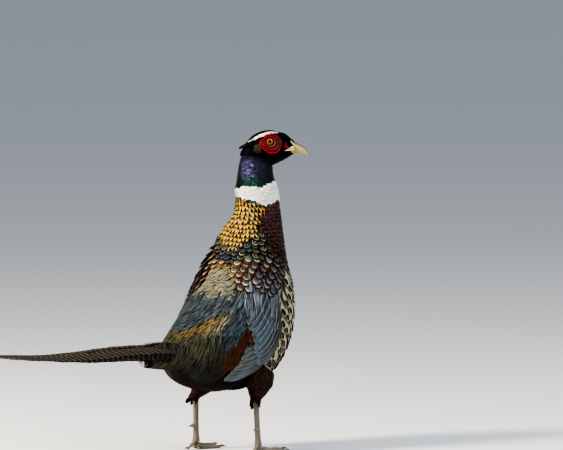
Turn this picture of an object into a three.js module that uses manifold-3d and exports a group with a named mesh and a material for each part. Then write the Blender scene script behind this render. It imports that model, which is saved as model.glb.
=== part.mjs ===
// Male common pheasant, standing upright and alert with its head turned over its right shoulder.
// Life size, in millimetres, +Z up. The bird faces +X, its right side is -Y, and its toes stand on Z = 0.
// The body is one lofted form parted by thin cuts. Flight feathers, tail feathers and covert tiers are
// closed vanes in rows, each row worked out by a loop and joined to the piece that it grows from.

import * as THREE from "three";
import Module from "manifold-3d";

const wasm = await Module();
wasm.setup();
const { Manifold, Mesh: SolidMesh } = wasm;

// Gaps between neighbouring pieces
const GAP = 0.3;
const SKIN_CLEARANCE = 1.3;
// Edges and slivers smaller than this, which cuts leave behind, are merged away.
const TIDY = 0.02;

// Trunk stations from the root of the tail up to the head. Each row holds the point on the back (x, z), the point
// on the belly or breast (x, z), the half width, the sideways shift and the turn of the section in degrees.
const TRUNK = [
  [-112, 140, -106, 108, 20, 0, 0],
  [-92, 152, -86, 91, 33, 0, 0],
  [-68, 167, -60, 82, 44, 0, 0],
  [-42, 187, -28, 77, 51, 0, 0],
  [-20, 211, 16, 75, 56, 0, 0],
  [-2, 236, 60, 87, 58, 0, 0],
  [9, 256, 91, 120, 56, 0, 0],
  [16.5, 271, 103, 165, 49, 0, 0],
  [21, 282.5, 101, 207, 36.5, -2, 0],
  [24, 290, 95, 240, 28, -5.5, -6],
  [27, 299, 88, 268.5, 24.8, -7, -16],
  [29, 307.5, 83, 293, 24.4, -7, -28],
  [27.8, 318.5, 79, 317, 23.6, -6.5, -40],
  [28.6, 333, 73, 334, 20.8, -6.5, -50],
  [31, 350, 70.5, 351, 19.8, -7, -55],
  [34.5, 364, 64, 361, 12.5, -7, -55],
];
const SECTION_POWER = 2.2;
const TORSO_SPAN = [1, 8.5];
const LOWER_NECK_SPAN = [8.5, 11];
const RING_SPAN = [11, 12.1];
const UPPER_NECK_SPAN = [12.1, 13.1];
const HEAD_STUB_SPAN = [13.1, 15];

// Head, in its own frame: p runs forward from the middle of the neck, l to the bird's right, z up.
const HEAD_TURN_DEG = -55;
const HEAD_MIDDLE = [51, -7];
// Rows of p, top z, bottom z, half width
const HEAD = [
  [-18, 364, 358, 2.5],
  [-13, 373, 350, 10],
  [-5, 382, 346, 14.5],
  [5, 387.6, 344, 16.8],
  [17, 389.8, 346, 17],
  [28, 387.6, 350.5, 14.8],
  [36, 385.6, 354.6, 11.4],
  [42, 380.8, 358.3, 8.2],
];
const BILL_START = 42 + GAP;
// Rows of p, ridge z, cutting edge z, half width
const UPPER_BILL = [
  [BILL_START, 379.8, 365.1, 7.4],
  [47, 375.9, 364.3, 6.6],
  [52, 373.2, 362.9, 5.7],
  [57, 370.6, 361.7, 4.6],
  [61, 367.1, 360.6, 3.3],
  [64, 362.7, 359.2, 1.8],
  [65.4, 359.7, 358.2, 0.8],
];
// Rows of p, cutting edge z, keel z, half width
const LOWER_BILL = [
  [BILL_START, 364.7, 359.6, 6.6],
  [48, 363.7, 359.9, 5.6],
  [54, 361.9, 359.7, 4.3],
  [59, 360.7, 359, 2.9],
  [61.5, 360, 358.8, 1.4],
];
const NOSTRIL = { p: 46.8, z: 372, length: 5, height: 1.5, depth: 2.4 };
const MOUTH_CORNER_P = 34.5;
const MOUTH_LINE = { z: 364.9, height: 0.7, depth: 1.6 };

const EYE = { p: 18, z: 376.1, radius: 6.4, middle: 10.2 };
const LID_OPENING = { length: 6, height: 5 };
// Reach of the red face skin round the eye, at even steps from forward, upward, back and down
const WATTLE_REACH = [14.8, 13.2, 11.2, 10.1, 9.6, 9.6, 9.5, 10.2, 14.4, 12.4, 12.3, 13, 14, 15.4, 15.2, 14.6];
const WATTLE_OFF = 0.45;
// Rows of the share of the way out, and the height over the head: lid, furrow, fold, furrow, fold, edge
const WATTLE_FOLDS = [
  [0, 1.0],
  [0.12, 1.9],
  [0.3, 1.0],
  [0.52, 1.9],
  [0.72, 1.2],
  [0.88, 1.8],
  [1, 0.7],
];

// Ear tufts: root, bend and tip as p, l and z
const EAR_TUFT = {
  path: [
    [-2, 12.2, 370.5],
    [-10, 10.8, 370.6],
    [-16, 9, 369.2],
    [-21, 7.4, 367.5],
  ],
  half: [3.6, 3.4, 2.2, 0.6],
};

// Tail: the line of the top of the tail (x, z), and each feather pair's length, half width and roll in degrees
const TAIL_LINE = [
  [-80, 136],
  [-113, 138.5],
  [-170, 140.5],
  [-236, 141.5],
  [-306, 140.5],
  [-376, 142],
  [-447, 147.5],
  [-485, 151],
];
const TAIL_ROOT_X = -97;
const TAIL_PAIRS = [
  { length: 388, half: 14.5, roll: 3 },
  { length: 345, half: 13.5, roll: 10 },
  { length: 292, half: 13, roll: 14 },
  { length: 246, half: 12.5, roll: 18 },
  { length: 205, half: 12, roll: 22 },
  { length: 168, half: 11, roll: 26 },
  { length: 134, half: 10, roll: 30 },
  { length: 102, half: 9.5, roll: 34 },
  { length: 76, half: 9, roll: 38 },
];
const TAIL_STEP_DOWN = 1.9;
const TAIL_FAN_DEG = 0.75;
const TAIL_VANE = 1.0;

// Folded wing, laid out on the trunk as [station, degrees from the back]. Each tier runs from its lowest vane
// to its highest, and lies at its own height over the plumage of the side.
const WING_PADS = [
  { rings: [5, 9], sides: [4, 10], thick: 4.5 },
  { rings: [8, 12], sides: [3, 7], thick: 5 },
];
const PRIMARIES = {
  roots: [[4.15, 107], [4.3, 97], [4.5, 84]],
  tips: [[2.15, 133], [2.45, 116], [3.15, 86]],
  count: 8,
  half: 8,
  height: 0.7,
  steps: 5,
};
const SECONDARIES = {
  roots: [[4.85, 99], [5.35, 75], [5.45, 48]],
  tips: [[3.55, 114], [3.4, 97], [3.3, 68]],
  count: 7,
  half: 8.5,
  height: 2.9,
  steps: 4,
};
const SCAPULARS = {
  roots: [[5.8, 71], [6.45, 54], [6.4, 30]],
  tips: [[4.8, 80], [4.65, 61], [4.35, 40]],
  count: 6,
  half: 9,
  height: 4.4,
  steps: 3,
};
const WING_VANE = 0.9;
const SHINGLE_TILT = 2.6;

// Legs. The thigh runs from inside the body to the heel, the shank from the heel to the root of the toes.
const THIGH_TOP = [20, 35, 100];
const THIGH_TOP_Z = 95;
const HEEL = [-3, 45, 67];
const TOE_ROOT = [0, 46.5, 8];
const THIGH_RADII = [
  [0, 27, 19],
  [0.45, 20, 15],
  [0.8, 11.5, 9.5],
  [1, 6.6, 6],
];
const SHANK_SCUTES = 9;
// Toes: heading in degrees away from straight ahead, positive outward, with length and half thickness
const TOES = [
  { name: "middle", heading: 6, length: 45, thick: 3.3 },
  { name: "inner", heading: -32, length: 32, thick: 3 },
  { name: "outer", heading: 42, length: 35, thick: 3 },
  { name: "hind", heading: 172, length: 15, thick: 2.3 },
];
const CLAW_FLOOR = 0.4;
const CLAW_LENGTH = { middle: 11, inner: 9.5, outer: 9, hind: 7 };

const up = new THREE.Vector3(0, 0, 1);
const radians = THREE.MathUtils.degToRad;

// Smooth curve through rows of numbers: column c at the place x of column 0.
function rowAt(rows, x, c) {
  const last = rows.length - 1;
  let i = 0;
  while (i < last - 1 && x > rows[i + 1][0]) i++;
  const slope = (a, b) => (rows[b][c] - rows[a][c]) / (rows[b][0] - rows[a][0]);
  const step = rows[i + 1][0] - rows[i][0];
  const inner = slope(i, i + 1);
  const before = i > 0 ? slope(i - 1, i + 1) : inner;
  const after = i < last - 1 ? slope(i, i + 2) : inner;
  const s = THREE.MathUtils.clamp((x - rows[i][0]) / step, 0, 1);
  const [s2, s3] = [s * s, s * s * s];
  return (
    (2 * s3 - 3 * s2 + 1) * rows[i][c] +
    (s3 - 2 * s2 + s) * step * before +
    (3 * s2 - 2 * s3) * rows[i + 1][c] +
    (s3 - s2) * step * after
  );
}

const TRUNK_ROWS = TRUNK.map((row, i) => [i, ...row]);

// The trunk's section at station t: middle, half axis towards the back, direction to the right, half width.
function trunkSection(t) {
  const [bx, bz, vx, vz, half, shift, turn] = [1, 2, 3, 4, 5, 6, 7].map((c) => rowAt(TRUNK_ROWS, t, c));
  const middle = new THREE.Vector3((bx + vx) / 2, shift, (bz + vz) / 2);
  const yaw = radians(turn);
  const reach = (bx - vx) / 2;
  const axis = new THREE.Vector3(reach * Math.cos(yaw), reach * Math.sin(yaw), (bz - vz) / 2);
  const right = new THREE.Vector3(Math.sin(yaw), -Math.cos(yaw), 0);
  return { middle, axis, right, half };
}

// Rounded cosine or sine, which makes a section a little fuller than an ellipse.
const fuller = (v) => Math.sign(v) * Math.abs(v) ** (2 / SECTION_POWER);

// A point on the trunk at station t and at an angle from the back round by the right side, moved outward by out.
function trunkPoint(t, angle, out = 0) {
  const { middle, axis, right, half } = trunkSection(t);
  const height = axis.length();
  return middle
    .clone()
    .addScaledVector(axis, (fuller(Math.cos(angle)) * (height + out)) / height)
    .addScaledVector(right, fuller(Math.sin(angle)) * (half + out));
}

// Head frame to the part's frame.
const headYaw = radians(HEAD_TURN_DEG);
const headForward = new THREE.Vector3(Math.cos(headYaw), Math.sin(headYaw), 0);
const headRight = new THREE.Vector3(Math.sin(headYaw), -Math.cos(headYaw), 0);
function fromHead(p, l, z) {
  return new THREE.Vector3(HEAD_MIDDLE[0], HEAD_MIDDLE[1], z)
    .addScaledVector(headForward, p)
    .addScaledVector(headRight, l);
}

// How far the head reaches to the side at p and height z.
function headSide(p, z) {
  const [top, bottom, half] = [1, 2, 3].map((c) => rowAt(HEAD, p, c));
  const share = (z - (top + bottom) / 2) / ((top - bottom) / 2);
  return half * Math.sqrt(Math.max(0.02, 1 - share * share));
}

// A closed solid from points and triangles, turned right side out.
function solid(points, triangles) {
  const vertProperties = new Float32Array(points.flatMap((v) => [v.x, v.y, v.z]));
  const make = (faces) =>
    new Manifold(new SolidMesh({ numProp: 3, vertProperties, triVerts: new Uint32Array(faces.flat()) }));
  const made = make(triangles);
  return made.volume() > 0 ? made : make(triangles.map(([a, b, c]) => [a, c, b]));
}

// A solid through rings of equally many points, with a flat fan at each end.
function loft(rings) {
  const n = rings[0].length;
  const points = rings.flat();
  const triangles = [];
  for (let i = 0; i < rings.length - 1; i++)
    for (let j = 0; j < n; j++) {
      const k = (j + 1) % n;
      const [a, b, c, d] = [i * n + j, i * n + k, (i + 1) * n + k, (i + 1) * n + j];
      triangles.push([a, b, c], [a, c, d]);
    }
  for (const [ring, flip] of [[0, true], [rings.length - 1, false]]) {
    const middle = rings[ring].reduce((sum, v) => sum.add(v), new THREE.Vector3()).divideScalar(n);
    const m = points.push(middle) - 1;
    for (let j = 0; j < n; j++) {
      const [a, b] = [ring * n + j, ring * n + ((j + 1) % n)];
      triangles.push(flip ? [m, b, a] : [m, a, b]);
    }
  }
  return solid(points, triangles);
}

// A slab between two grids of points that are split into triangles alike. A ring of rows closes on itself.
function slab(top, bottom, ring = false) {
  const [rows, cols] = [top.length, top[0].length];
  const points = [...top.flat(), ...bottom.flat()];
  const triangles = [];
  const under = rows * cols;
  const spans = ring ? rows : rows - 1;
  const wall = (a, b) => triangles.push([a, a + under, b + under], [a, b + under, b]);
  for (let i = 0; i < spans; i++) {
    const next = (i + 1) % rows;
    for (let j = 0; j < cols - 1; j++) {
      const [a, b, c, d] = [i * cols + j, i * cols + j + 1, next * cols + j + 1, next * cols + j];
      triangles.push([a, b, c], [a, c, d]);
      triangles.push([a + under, c + under, b + under], [a + under, d + under, c + under]);
    }
    wall(next * cols, i * cols);
    wall(i * cols + cols - 1, next * cols + cols - 1);
  }
  if (!ring)
    for (let j = 0; j < cols - 1; j++) {
      wall(j, j + 1);
      wall((rows - 1) * cols + j + 1, (rows - 1) * cols + j);
    }
  return solid(points, triangles);
}

// A feather vane: a slab along stations of a middle, a direction across, a direction out, a half width, a thickness.
function vane(stations) {
  const row = ({ at, across, out, half, thick }, lift) =>
    [-1, 1].map((side) =>
      at
        .clone()
        .addScaledVector(across, side * half)
        .addScaledVector(out, lift * thick),
    );
  return slab(
    stations.map((s) => row(s, 0.5)),
    stations.map((s) => row(s, -0.5)),
  );
}

// Joins solids and keeps the largest closed body.
function joined(pieces) {
  return largest(Manifold.union(pieces));
}

function largest(made) {
  const bodies = made.decompose();
  return bodies.reduce((best, body) => (body.volume() > best.volume() ? body : best)).simplify(TIDY);
}

// Half width of a vane along its length: narrow at the root, full, then round or pointed at the tip.
function vaneHalf(share, half, point) {
  const rise = Math.min(1, 0.55 + share * 1.8);
  const fall = Math.sqrt(Math.max(0.03, 1 - Math.max(0, (share - point) / (1 - point)) ** 2.2));
  return half * rise * fall;
}

function mirrored(made) {
  return made.mirror([0, 1, 0]);
}

// Trunk pieces

function trunkRings(from, to, count, sides, out = 0) {
  return Array.from({ length: count + 1 }, (_, i) => {
    const t = THREE.MathUtils.lerp(from, to, i / count);
    return Array.from({ length: sides }, (_, j) => trunkPoint(t, (2 * Math.PI * j) / sides, out));
  });
}

// The change of station that moves a cut along the trunk by half a gap.
function halfGapAt(t) {
  const step = trunkSection(t + 0.05).middle.distanceTo(trunkSection(t - 0.05).middle) / 0.1;
  return GAP / 2 / step;
}

function trunkPiece([from, to], count, sides = 28) {
  return loft(trunkRings(from + halfGapAt(from), to - halfGapAt(to), count, sides));
}

// The torso's rings are shared with the pad of the wing, so that the two lie alongside each other.
const TORSO_RINGS = 16;
const TORSO_SIDES = 36;
function torsoPoint(ring, side, out = 0) {
  const [from, to] = TORSO_SPAN;
  const t = THREE.MathUtils.lerp(from + halfGapAt(from), to - halfGapAt(to), ring / TORSO_RINGS);
  return trunkPoint(t, (2 * Math.PI * side) / TORSO_SIDES, out);
}

function makeTorso(from = 0, to = TORSO_RINGS, out = 0) {
  return loft(
    Array.from({ length: to - from + 1 }, (_, i) =>
      Array.from({ length: TORSO_SIDES }, (_, j) => torsoPoint(from + i, j, out)),
    ),
  );
}

// Head: skull and throat as one form, with sockets for the eyes, the line of the mouth and the ear tufts

function headLoft(out = 0) {
  const sides = 26;
  const places = [-18, -16, -13, -9, -5, 0, 5, 11, 17, 23, 28, 32, 36, 39, 42];
  return loft(
    places.map((p) => {
      const [top, bottom, half] = [1, 2, 3].map((c) => rowAt(HEAD, p, c));
      return Array.from({ length: sides }, (_, j) => {
        const angle = (2 * Math.PI * j) / sides;
        const z = (top + bottom) / 2 + Math.cos(angle) * ((top - bottom) / 2 + out);
        return fromHead(p, Math.sin(angle) * (half + out), z);
      });
    }),
  );
}

function ball(middle, radius, stretch = [1, 1, 1], segments = 14, rings = 10) {
  const sphere = new THREE.SphereGeometry(radius, segments, rings);
  const places = sphere.getAttribute("position");
  const index = sphere.index.array;
  const seen = new Map();
  const points = [];
  const names = Array.from({ length: places.count }, (_, i) => {
    const v = new THREE.Vector3().fromBufferAttribute(places, i);
    const key = v.toArray().map((x) => Math.round(x * 1e4)).join();
    if (!seen.has(key)) seen.set(key, points.push(v.multiply(new THREE.Vector3(...stretch)).add(middle)) - 1);
    return seen.get(key);
  });
  const triangles = [];
  for (let i = 0; i < index.length; i += 3) {
    const [a, b, c] = [names[index[i]], names[index[i + 1]], names[index[i + 2]]];
    if (a !== b && b !== c && a !== c) triangles.push([a, b, c]);
  }
  return solid(points, triangles);
}

// A box in the head's frame, from its lowest to its highest corner.
function headBox([p0, l0, z0], [p1, l1, z1]) {
  const ring = (p) => [[l0, z0], [l1, z0], [l1, z1], [l0, z1]].map(([l, z]) => fromHead(p, l, z));
  return loft([ring(p0), ring(p1)]);
}

function earTuft(side) {
  const stations = EAR_TUFT.path.map(([p, l, z], i) => ({
    at: fromHead(p, side * l, z),
    across: up,
    out: headRight,
    half: EAR_TUFT.half[i],
    thick: 2.4 - 0.5 * i,
  }));
  return vane(stations);
}

function makeHead() {
  const stub = trunkPiece(HEAD_STUB_SPAN, 4);
  const { z, height, depth } = MOUTH_LINE;
  const mouthSlice = headBox([MOUTH_CORNER_P, -20, z - height / 2], [BILL_START + 1, 20, z + height / 2]);
  const sockets = [1, -1].map((side) => ball(fromHead(EYE.p, side * EYE.middle, EYE.z), EYE.radius + GAP));
  const form = joined([headLoft(), stub, earTuft(1), earTuft(-1)]);
  return largest(form.subtract(mouthSlice.subtract(headLoft(-depth))).subtract(Manifold.union(sockets)));
}

function makeEye(side) {
  return ball(fromHead(EYE.p, side * EYE.middle, EYE.z), EYE.radius, [1, 1, 1], 14, 10);
}

function makeWattle(side) {
  const count = WATTLE_REACH.length;
  const raised = (i, share, height) => {
    const angle = (2 * Math.PI * i) / count;
    const inner = [LID_OPENING.length * Math.cos(angle), LID_OPENING.height * Math.sin(angle)];
    const outer = [WATTLE_REACH[i] * Math.cos(angle), WATTLE_REACH[i] * Math.sin(angle)];
    const p = EYE.p + THREE.MathUtils.lerp(inner[0], outer[0], share);
    const z = EYE.z + THREE.MathUtils.lerp(inner[1], outer[1], share);
    const apart = Math.hypot(p - EYE.p, z - EYE.z);
    const overEye = EYE.middle + Math.sqrt(Math.max(0, (EYE.radius + 0.5) ** 2 - apart ** 2));
    return fromHead(p, side * (Math.max(headSide(p, z) + WATTLE_OFF, overEye) + height), z);
  };
  const rows = (level) =>
    WATTLE_REACH.map((_, i) => WATTLE_FOLDS.map(([share, height]) => raised(i, share, level * height)));
  return slab(rows(1), rows(0), true);
}

function billLoft(rows, archUp) {
  const sides = 9;
  return loft(
    rows.map(([p, top, bottom, half]) => {
      const [flat, arch] = archUp ? [bottom, top] : [top, bottom];
      const points = Array.from({ length: sides }, (_, j) => {
        const angle = (Math.PI * j) / (sides - 1);
        const l = half * Math.cos(angle);
        return fromHead(p, l, flat + (arch - flat) * Math.sin(angle) ** 0.85);
      });
      return [...points, fromHead(p, 0, flat)];
    }),
  );
}

function makeUpperBill() {
  const { p, z, length, height, depth } = NOSTRIL;
  const width = rowAt(UPPER_BILL, p, 3) * 0.86;
  const pieces = [1, -1].map((side) => {
    const flap = ball(fromHead(p - 0.6, side * (width - 1), z + 1.6), 1, [3.2, 3.2, 1.5], 10, 6);
    const slit = ball(fromHead(p + 0.6, side * (width + 0.9), z - 0.5), 1, [1, 1, 1], 8, 6)
      .translate(fromHead(p + 0.6, side * (width + 0.9), z - 0.5).negate().toArray())
      .scale([length / 2, depth, height / 2])
      .rotate([0, 0, HEAD_TURN_DEG])
      .translate(fromHead(p + 0.6, side * (width + 0.9), z - 0.5).toArray());
    return { flap, slit };
  });
  const base = headBox([BILL_START, -12, 350], [80, 12, 400]);
  const form = joined([billLoft(UPPER_BILL, true), ...pieces.map((x) => x.flap)]).intersect(base);
  return largest(form.subtract(Manifold.union(pieces.map((x) => x.slit))));
}

function makeLowerBill() {
  return billLoft(LOWER_BILL, false);
}

// Tail: a root block in line with the rump, the folded fan of tail feathers, and coverts over its root

function tailFeather(pair, side) {
  const { length, half, roll } = TAIL_PAIRS[pair];
  const steps = Math.max(3, Math.round(length / 46));
  const tilt = radians(roll) * side;
  const across = new THREE.Vector3(0, Math.cos(tilt), -Math.sin(tilt));
  const out = new THREE.Vector3(0, Math.sin(tilt), Math.cos(tilt));
  const fan = Math.tan(radians(TAIL_FAN_DEG * pair));
  return vane(
    Array.from({ length: steps + 1 }, (_, i) => {
      const share = i / steps;
      const x = TAIL_ROOT_X - length * share;
      const width = vaneHalf(share, half, pair < 3 ? 0.3 : 0.45);
      const aside = pair ? Math.cos(tilt) * half + 0.5 + fan * length * share : 2.5;
      const down = pair ? 2.6 + TAIL_STEP_DOWN * pair + Math.abs(Math.sin(tilt)) * half : side > 0 ? 2.3 : 0;
      return {
        at: new THREE.Vector3(x, side * aside, rowAt(TAIL_LINE_ROWS, -x, 1) - down),
        across,
        out,
        half: width,
        thick: THREE.MathUtils.lerp(TAIL_VANE * 1.3, TAIL_VANE * 0.6, share),
      };
    }),
  );
}

const TAIL_LINE_ROWS = TAIL_LINE.map(([x, z]) => [-x, z]);

// A covert on the root block: it leaves the surface near the rump and lies along the tail.
function tailCovert(angle, reach, droop) {
  const from = trunkPoint(0.8, angle, -1.5);
  const over = trunkPoint(0.25, angle, 1.2);
  const outward = new THREE.Vector3(0, -Math.sin(angle), Math.cos(angle));
  const across = new THREE.Vector3(0, Math.cos(angle), Math.sin(angle));
  const tip = over.clone().add(new THREE.Vector3(-reach, -Math.sin(angle) * 1.5, Math.cos(angle) * 2 - droop));
  const path = new THREE.CatmullRomCurve3([from, over, tip]);
  const steps = 4;
  return vane(
    Array.from({ length: steps + 1 }, (_, i) => ({
      at: path.getPoint(i / steps),
      across,
      out: outward,
      half: vaneHalf(i / steps, 6.5, 0.35),
      thick: 1.4 - (0.7 * i) / steps,
    })),
  );
}

function makeTail() {
  const start = TORSO_SPAN[0] - halfGapAt(TORSO_SPAN[0]);
  const rings = trunkRings(start, 0, 3, 20);
  const lastMiddle = trunkSection(0).middle;
  const closing = rings[3].map((v) => v.clone().sub(lastMiddle).multiplyScalar(0.55).add(lastMiddle));
  closing.forEach((v) => v.add(new THREE.Vector3(-9, 0, 0)));
  const pieces = [loft([...rings, closing])];
  TAIL_PAIRS.forEach((_, pair) => pieces.push(tailFeather(pair, 1), tailFeather(pair, -1)));
  const covertCount = 12;
  for (let i = 0; i < covertCount; i++) {
    const angle = (2 * Math.PI * (i + 0.5)) / covertCount;
    const topShare = (1 + Math.cos(angle)) / 2;
    pieces.push(tailCovert(angle, 22 + 38 * topShare, 3 * (1 - topShare)));
  }
  return joined(pieces);
}

// Folded wing, laid on the side of the trunk

// A place on the right side of the trunk lifted off it, with the direction out of the body.
function sidePlace(t, degrees, lift) {
  const [angle, step] = [radians(degrees), 0.02];
  const along = trunkPoint(t + step, angle).sub(trunkPoint(t - step, angle));
  const round = trunkPoint(t, angle + step).sub(trunkPoint(t, angle - step));
  const out = new THREE.Vector3().crossVectors(round, along).normalize();
  return { at: trunkPoint(t, angle).addScaledVector(out, lift), out };
}

// A place along a line of three, at a share of the way.
function placeAlong(places, share) {
  const path = new THREE.QuadraticBezierCurve(...places.map(([t, degrees]) => new THREE.Vector2(t, degrees)));
  const through = places[1].map((v, i) => 2 * v - (places[0][i] + places[2][i]) / 2);
  path.v1.set(...through);
  return path.getPoint(share).toArray();
}

function wingTier({ roots, tips, count, half, height, steps }) {
  const tilt = Math.asin(SHINGLE_TILT / (2 * half));
  return Array.from({ length: count }, (_, i) => {
    const root = placeAlong(roots, i / (count - 1));
    const tip = placeAlong(tips, i / (count - 1));
    const spot = (s, lift) =>
      sidePlace(...root.map((v, k) => THREE.MathUtils.lerp(v, tip[k], s)), SKIN_CLEARANCE + height + lift);
    return vane(
      Array.from({ length: steps + 1 }, (_, k) => {
        const s = k / steps;
        const { at, out } = spot(s, SHINGLE_TILT / 2 - 0.4 * height * (1 - Math.min(1, s * 3)));
        const along = spot(Math.min(1, s + 0.05), 0).at.sub(spot(Math.max(0, s - 0.05), 0).at).normalize();
        const across = new THREE.Vector3().crossVectors(along, out).normalize();
        across.multiplyScalar(Math.sign(across.z));
        return {
          at,
          across: across.clone().multiplyScalar(Math.cos(tilt)).addScaledVector(out, -Math.sin(tilt)),
          out: out.clone().multiplyScalar(Math.cos(tilt)).addScaledVector(across, Math.sin(tilt)),
          half: vaneHalf(s, half, 0.72),
          thick: WING_VANE * (1 - 0.35 * s),
        };
      }),
    );
  });
}

// A pad of muscle and small feathers that lies alongside the torso's own facets.
function wingPad({ rings, sides, thick }) {
  const [rows, cols] = [rings, sides].map(([from, to]) => to - from);
  const rounded = (s) => Math.sqrt(Math.sin(Math.PI * THREE.MathUtils.clamp(s, 0.04, 0.96)));
  const grid = (lift) =>
    Array.from({ length: rows + 1 }, (_, i) =>
      Array.from({ length: cols + 1 }, (_, j) => torsoPoint(rings[0] + i, sides[0] + j, lift(i / rows, j / cols))),
    );
  return slab(
    grid((a, b) => GAP + 0.7 + thick * rounded(a) * rounded(b)),
    grid(() => GAP),
  );
}

function makeWing() {
  return joined([...WING_PADS.map(wingPad), ...[PRIMARIES, SECONDARIES, SCAPULARS].flatMap(wingTier)]);
}

// Legs, made for the right side with y positive outward and placed by the sign of the side

const sidePoint = ([x, y, z]) => new THREE.Vector3(x, -y, z);

// Rings round a straight axis, from rows of the share of the way and the two radii.
function limb(from, to, rows, sides) {
  const axis = to.clone().sub(from).normalize();
  const across = new THREE.Vector3(0, 1, 0).addScaledVector(axis, -axis.y).normalize();
  const fore = new THREE.Vector3().crossVectors(across, axis).normalize();
  return loft(
    rows.map(([share, deep, wide]) =>
      Array.from({ length: sides }, (_, j) => {
        const angle = (2 * Math.PI * j) / sides;
        return from
          .clone()
          .lerp(to, share)
          .addScaledVector(fore, deep * Math.cos(angle))
          .addScaledVector(across, wide * Math.sin(angle));
      }),
    ),
  );
}

// Keeps the side of a plane through a point that its normal points to.
function cutBy(made, point, normal) {
  const n = normal.clone().normalize();
  return made.trimByPlane(n.toArray(), n.dot(point));
}

const thighTop = sidePoint(THIGH_TOP);
const heel = sidePoint(HEEL);
const toeRoot = sidePoint(TOE_ROOT);
const thighAxis = heel.clone().sub(thighTop).normalize();
const shankAxis = toeRoot.clone().sub(heel).normalize();
const thighEnd = heel.clone().addScaledVector(thighAxis, -3.5);
const shankEnd = toeRoot.clone().addScaledVector(shankAxis, -4);

function makeThigh(innerTorso) {
  const form = limb(thighTop, thighEnd, THIGH_RADII, 18);
  return largest(cutBy(form.subtract(innerTorso), new THREE.Vector3(0, 0, THIGH_TOP_Z), up.clone().negate()));
}

function makeShank() {
  const rows = [];
  for (let i = 0; i < SHANK_SCUTES; i++) {
    const share = 0.07 + (0.88 * i) / SHANK_SCUTES;
    const slim = 0.6 * Math.sin(Math.PI * share);
    rows.push([share, 4.6 - slim, 3.5 - slim], [share + 0.06, 4.0 - slim, 3.3 - slim]);
  }
  const bones = limb(heel, shankEnd, [[0, 5, 4.4], ...rows, [1, 5, 4.6]], 8);
  const knuckle = ball(heel, 6.1, [1.05, 0.9, 1.1], 10, 7);
  const spurRoot = heel.clone().lerp(shankEnd, 0.62);
  const back = new THREE.Vector3(-1, 0.25, 0).addScaledVector(shankAxis, 0.15).normalize();
  const spur = limb(spurRoot, spurRoot.clone().addScaledVector(back, 12), [[0, 2.9, 2.5], [0.6, 1.7, 1.5], [1, 0.4, 0.4]], 6);
  const form = joined([bones, knuckle, spur]);
  return largest(cutBy(form, thighEnd.clone().addScaledVector(thighAxis, GAP), thighAxis));
}

function toePath({ heading, length, name }) {
  const turn = radians(heading);
  const ahead = new THREE.Vector3(Math.cos(turn), -Math.sin(turn), 0);
  const hind = name === "hind";
  const start = toeRoot.clone().add(new THREE.Vector3(0, 0, hind ? 3 : -1));
  const at = (share, z) => {
    const v = start.clone().addScaledVector(ahead, length * share);
    v.z = z;
    return v;
  };
  const path = new THREE.CatmullRomCurve3(
    hind ? [start, at(0.5, 6), at(1, 1.4)] : [start, at(0.3, 3.3), at(0.65, 2.2), at(1, 1.9)],
  );
  return { path, ahead };
}

function makeFoot() {
  const pieces = [ball(toeRoot, 5.6, [1.15, 1.05, 1], 10, 7)];
  for (const toe of TOES) {
    const { path, ahead } = toePath(toe);
    const across = new THREE.Vector3(-ahead.y, ahead.x, 0);
    const steps = toe.name === "hind" ? 4 : 7;
    const rings = Array.from({ length: steps + 1 }, (_, i) => {
      const share = i / steps;
      const pads = 1 + 0.1 * Math.cos(share * Math.PI * 6);
      const radius = toe.thick * (1 - 0.24 * share) * pads;
      const at = path.getPoint(share);
      const tangent = path.getTangent(share);
      const rise = new THREE.Vector3().crossVectors(tangent, across).normalize();
      return Array.from({ length: 8 }, (_, j) => {
        const angle = (2 * Math.PI * (j + 0.5)) / 8;
        return at
          .clone()
          .addScaledVector(across, radius * Math.cos(angle))
          .addScaledVector(rise, radius * 1.05 * Math.sin(angle));
      });
    });
    pieces.push(loft(rings));
  }
  const onFloor = cutBy(joined(pieces), new THREE.Vector3(), up);
  return largest(cutBy(onFloor, shankEnd.clone().addScaledVector(shankAxis, GAP), shankAxis));
}

function makeClaw(toe) {
  const { path, ahead } = toePath(toe);
  const length = CLAW_LENGTH[toe.name];
  const end = path.getPoint(1);
  const heading = path.getTangent(1);
  const across = new THREE.Vector3(-ahead.y, ahead.x, 0);
  const steps = 4;
  const rings = Array.from({ length: steps + 1 }, (_, i) => {
    const share = i / steps;
    const radius = THREE.MathUtils.lerp(toe.thick * 0.62, 0.35, share ** 1.3);
    const at = end.clone().addScaledVector(ahead, length * share - 1);
    at.z = end.z + 1.4 * Math.sin(Math.PI * share * 0.9) - (end.z - 0.9) * share ** 2;
    return Array.from({ length: 6 }, (_, j) => {
      const angle = (2 * Math.PI * j) / 6;
      return at
        .clone()
        .addScaledVector(across, radius * 0.8 * Math.cos(angle))
        .addScaledVector(up, radius * Math.sin(angle));
    });
  });
  const square = cutBy(loft(rings), end.addScaledVector(heading, GAP), heading);
  return largest(cutBy(square, new THREE.Vector3(0, 0, CLAW_FLOOR), up));
}

// Materials and the assembled bird

const material = (color, roughness, metalness = 0) => new THREE.MeshStandardMaterial({ color, roughness, metalness });
const plumage = {
  torso: material(0xb58a4c, 0.8),
  neck: material(0xa8602a, 0.7),
  ring: material(0xf0eee6, 0.85),
  gloss: material(0x12333a, 0.35, 0.2),
  face: material(0xb3141c, 0.6),
  bill: material(0xcdbd8a, 0.45),
  eye: material(0xd87a1c, 0.15),
  wing: material(0x7f8d93, 0.75),
  tail: material(0x8b7448, 0.75),
  thigh: material(0x3a2418, 0.85),
  leg: material(0x8a8578, 0.6),
  claw: material(0x4a4238, 0.45),
};

const bird = new THREE.Group();

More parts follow.
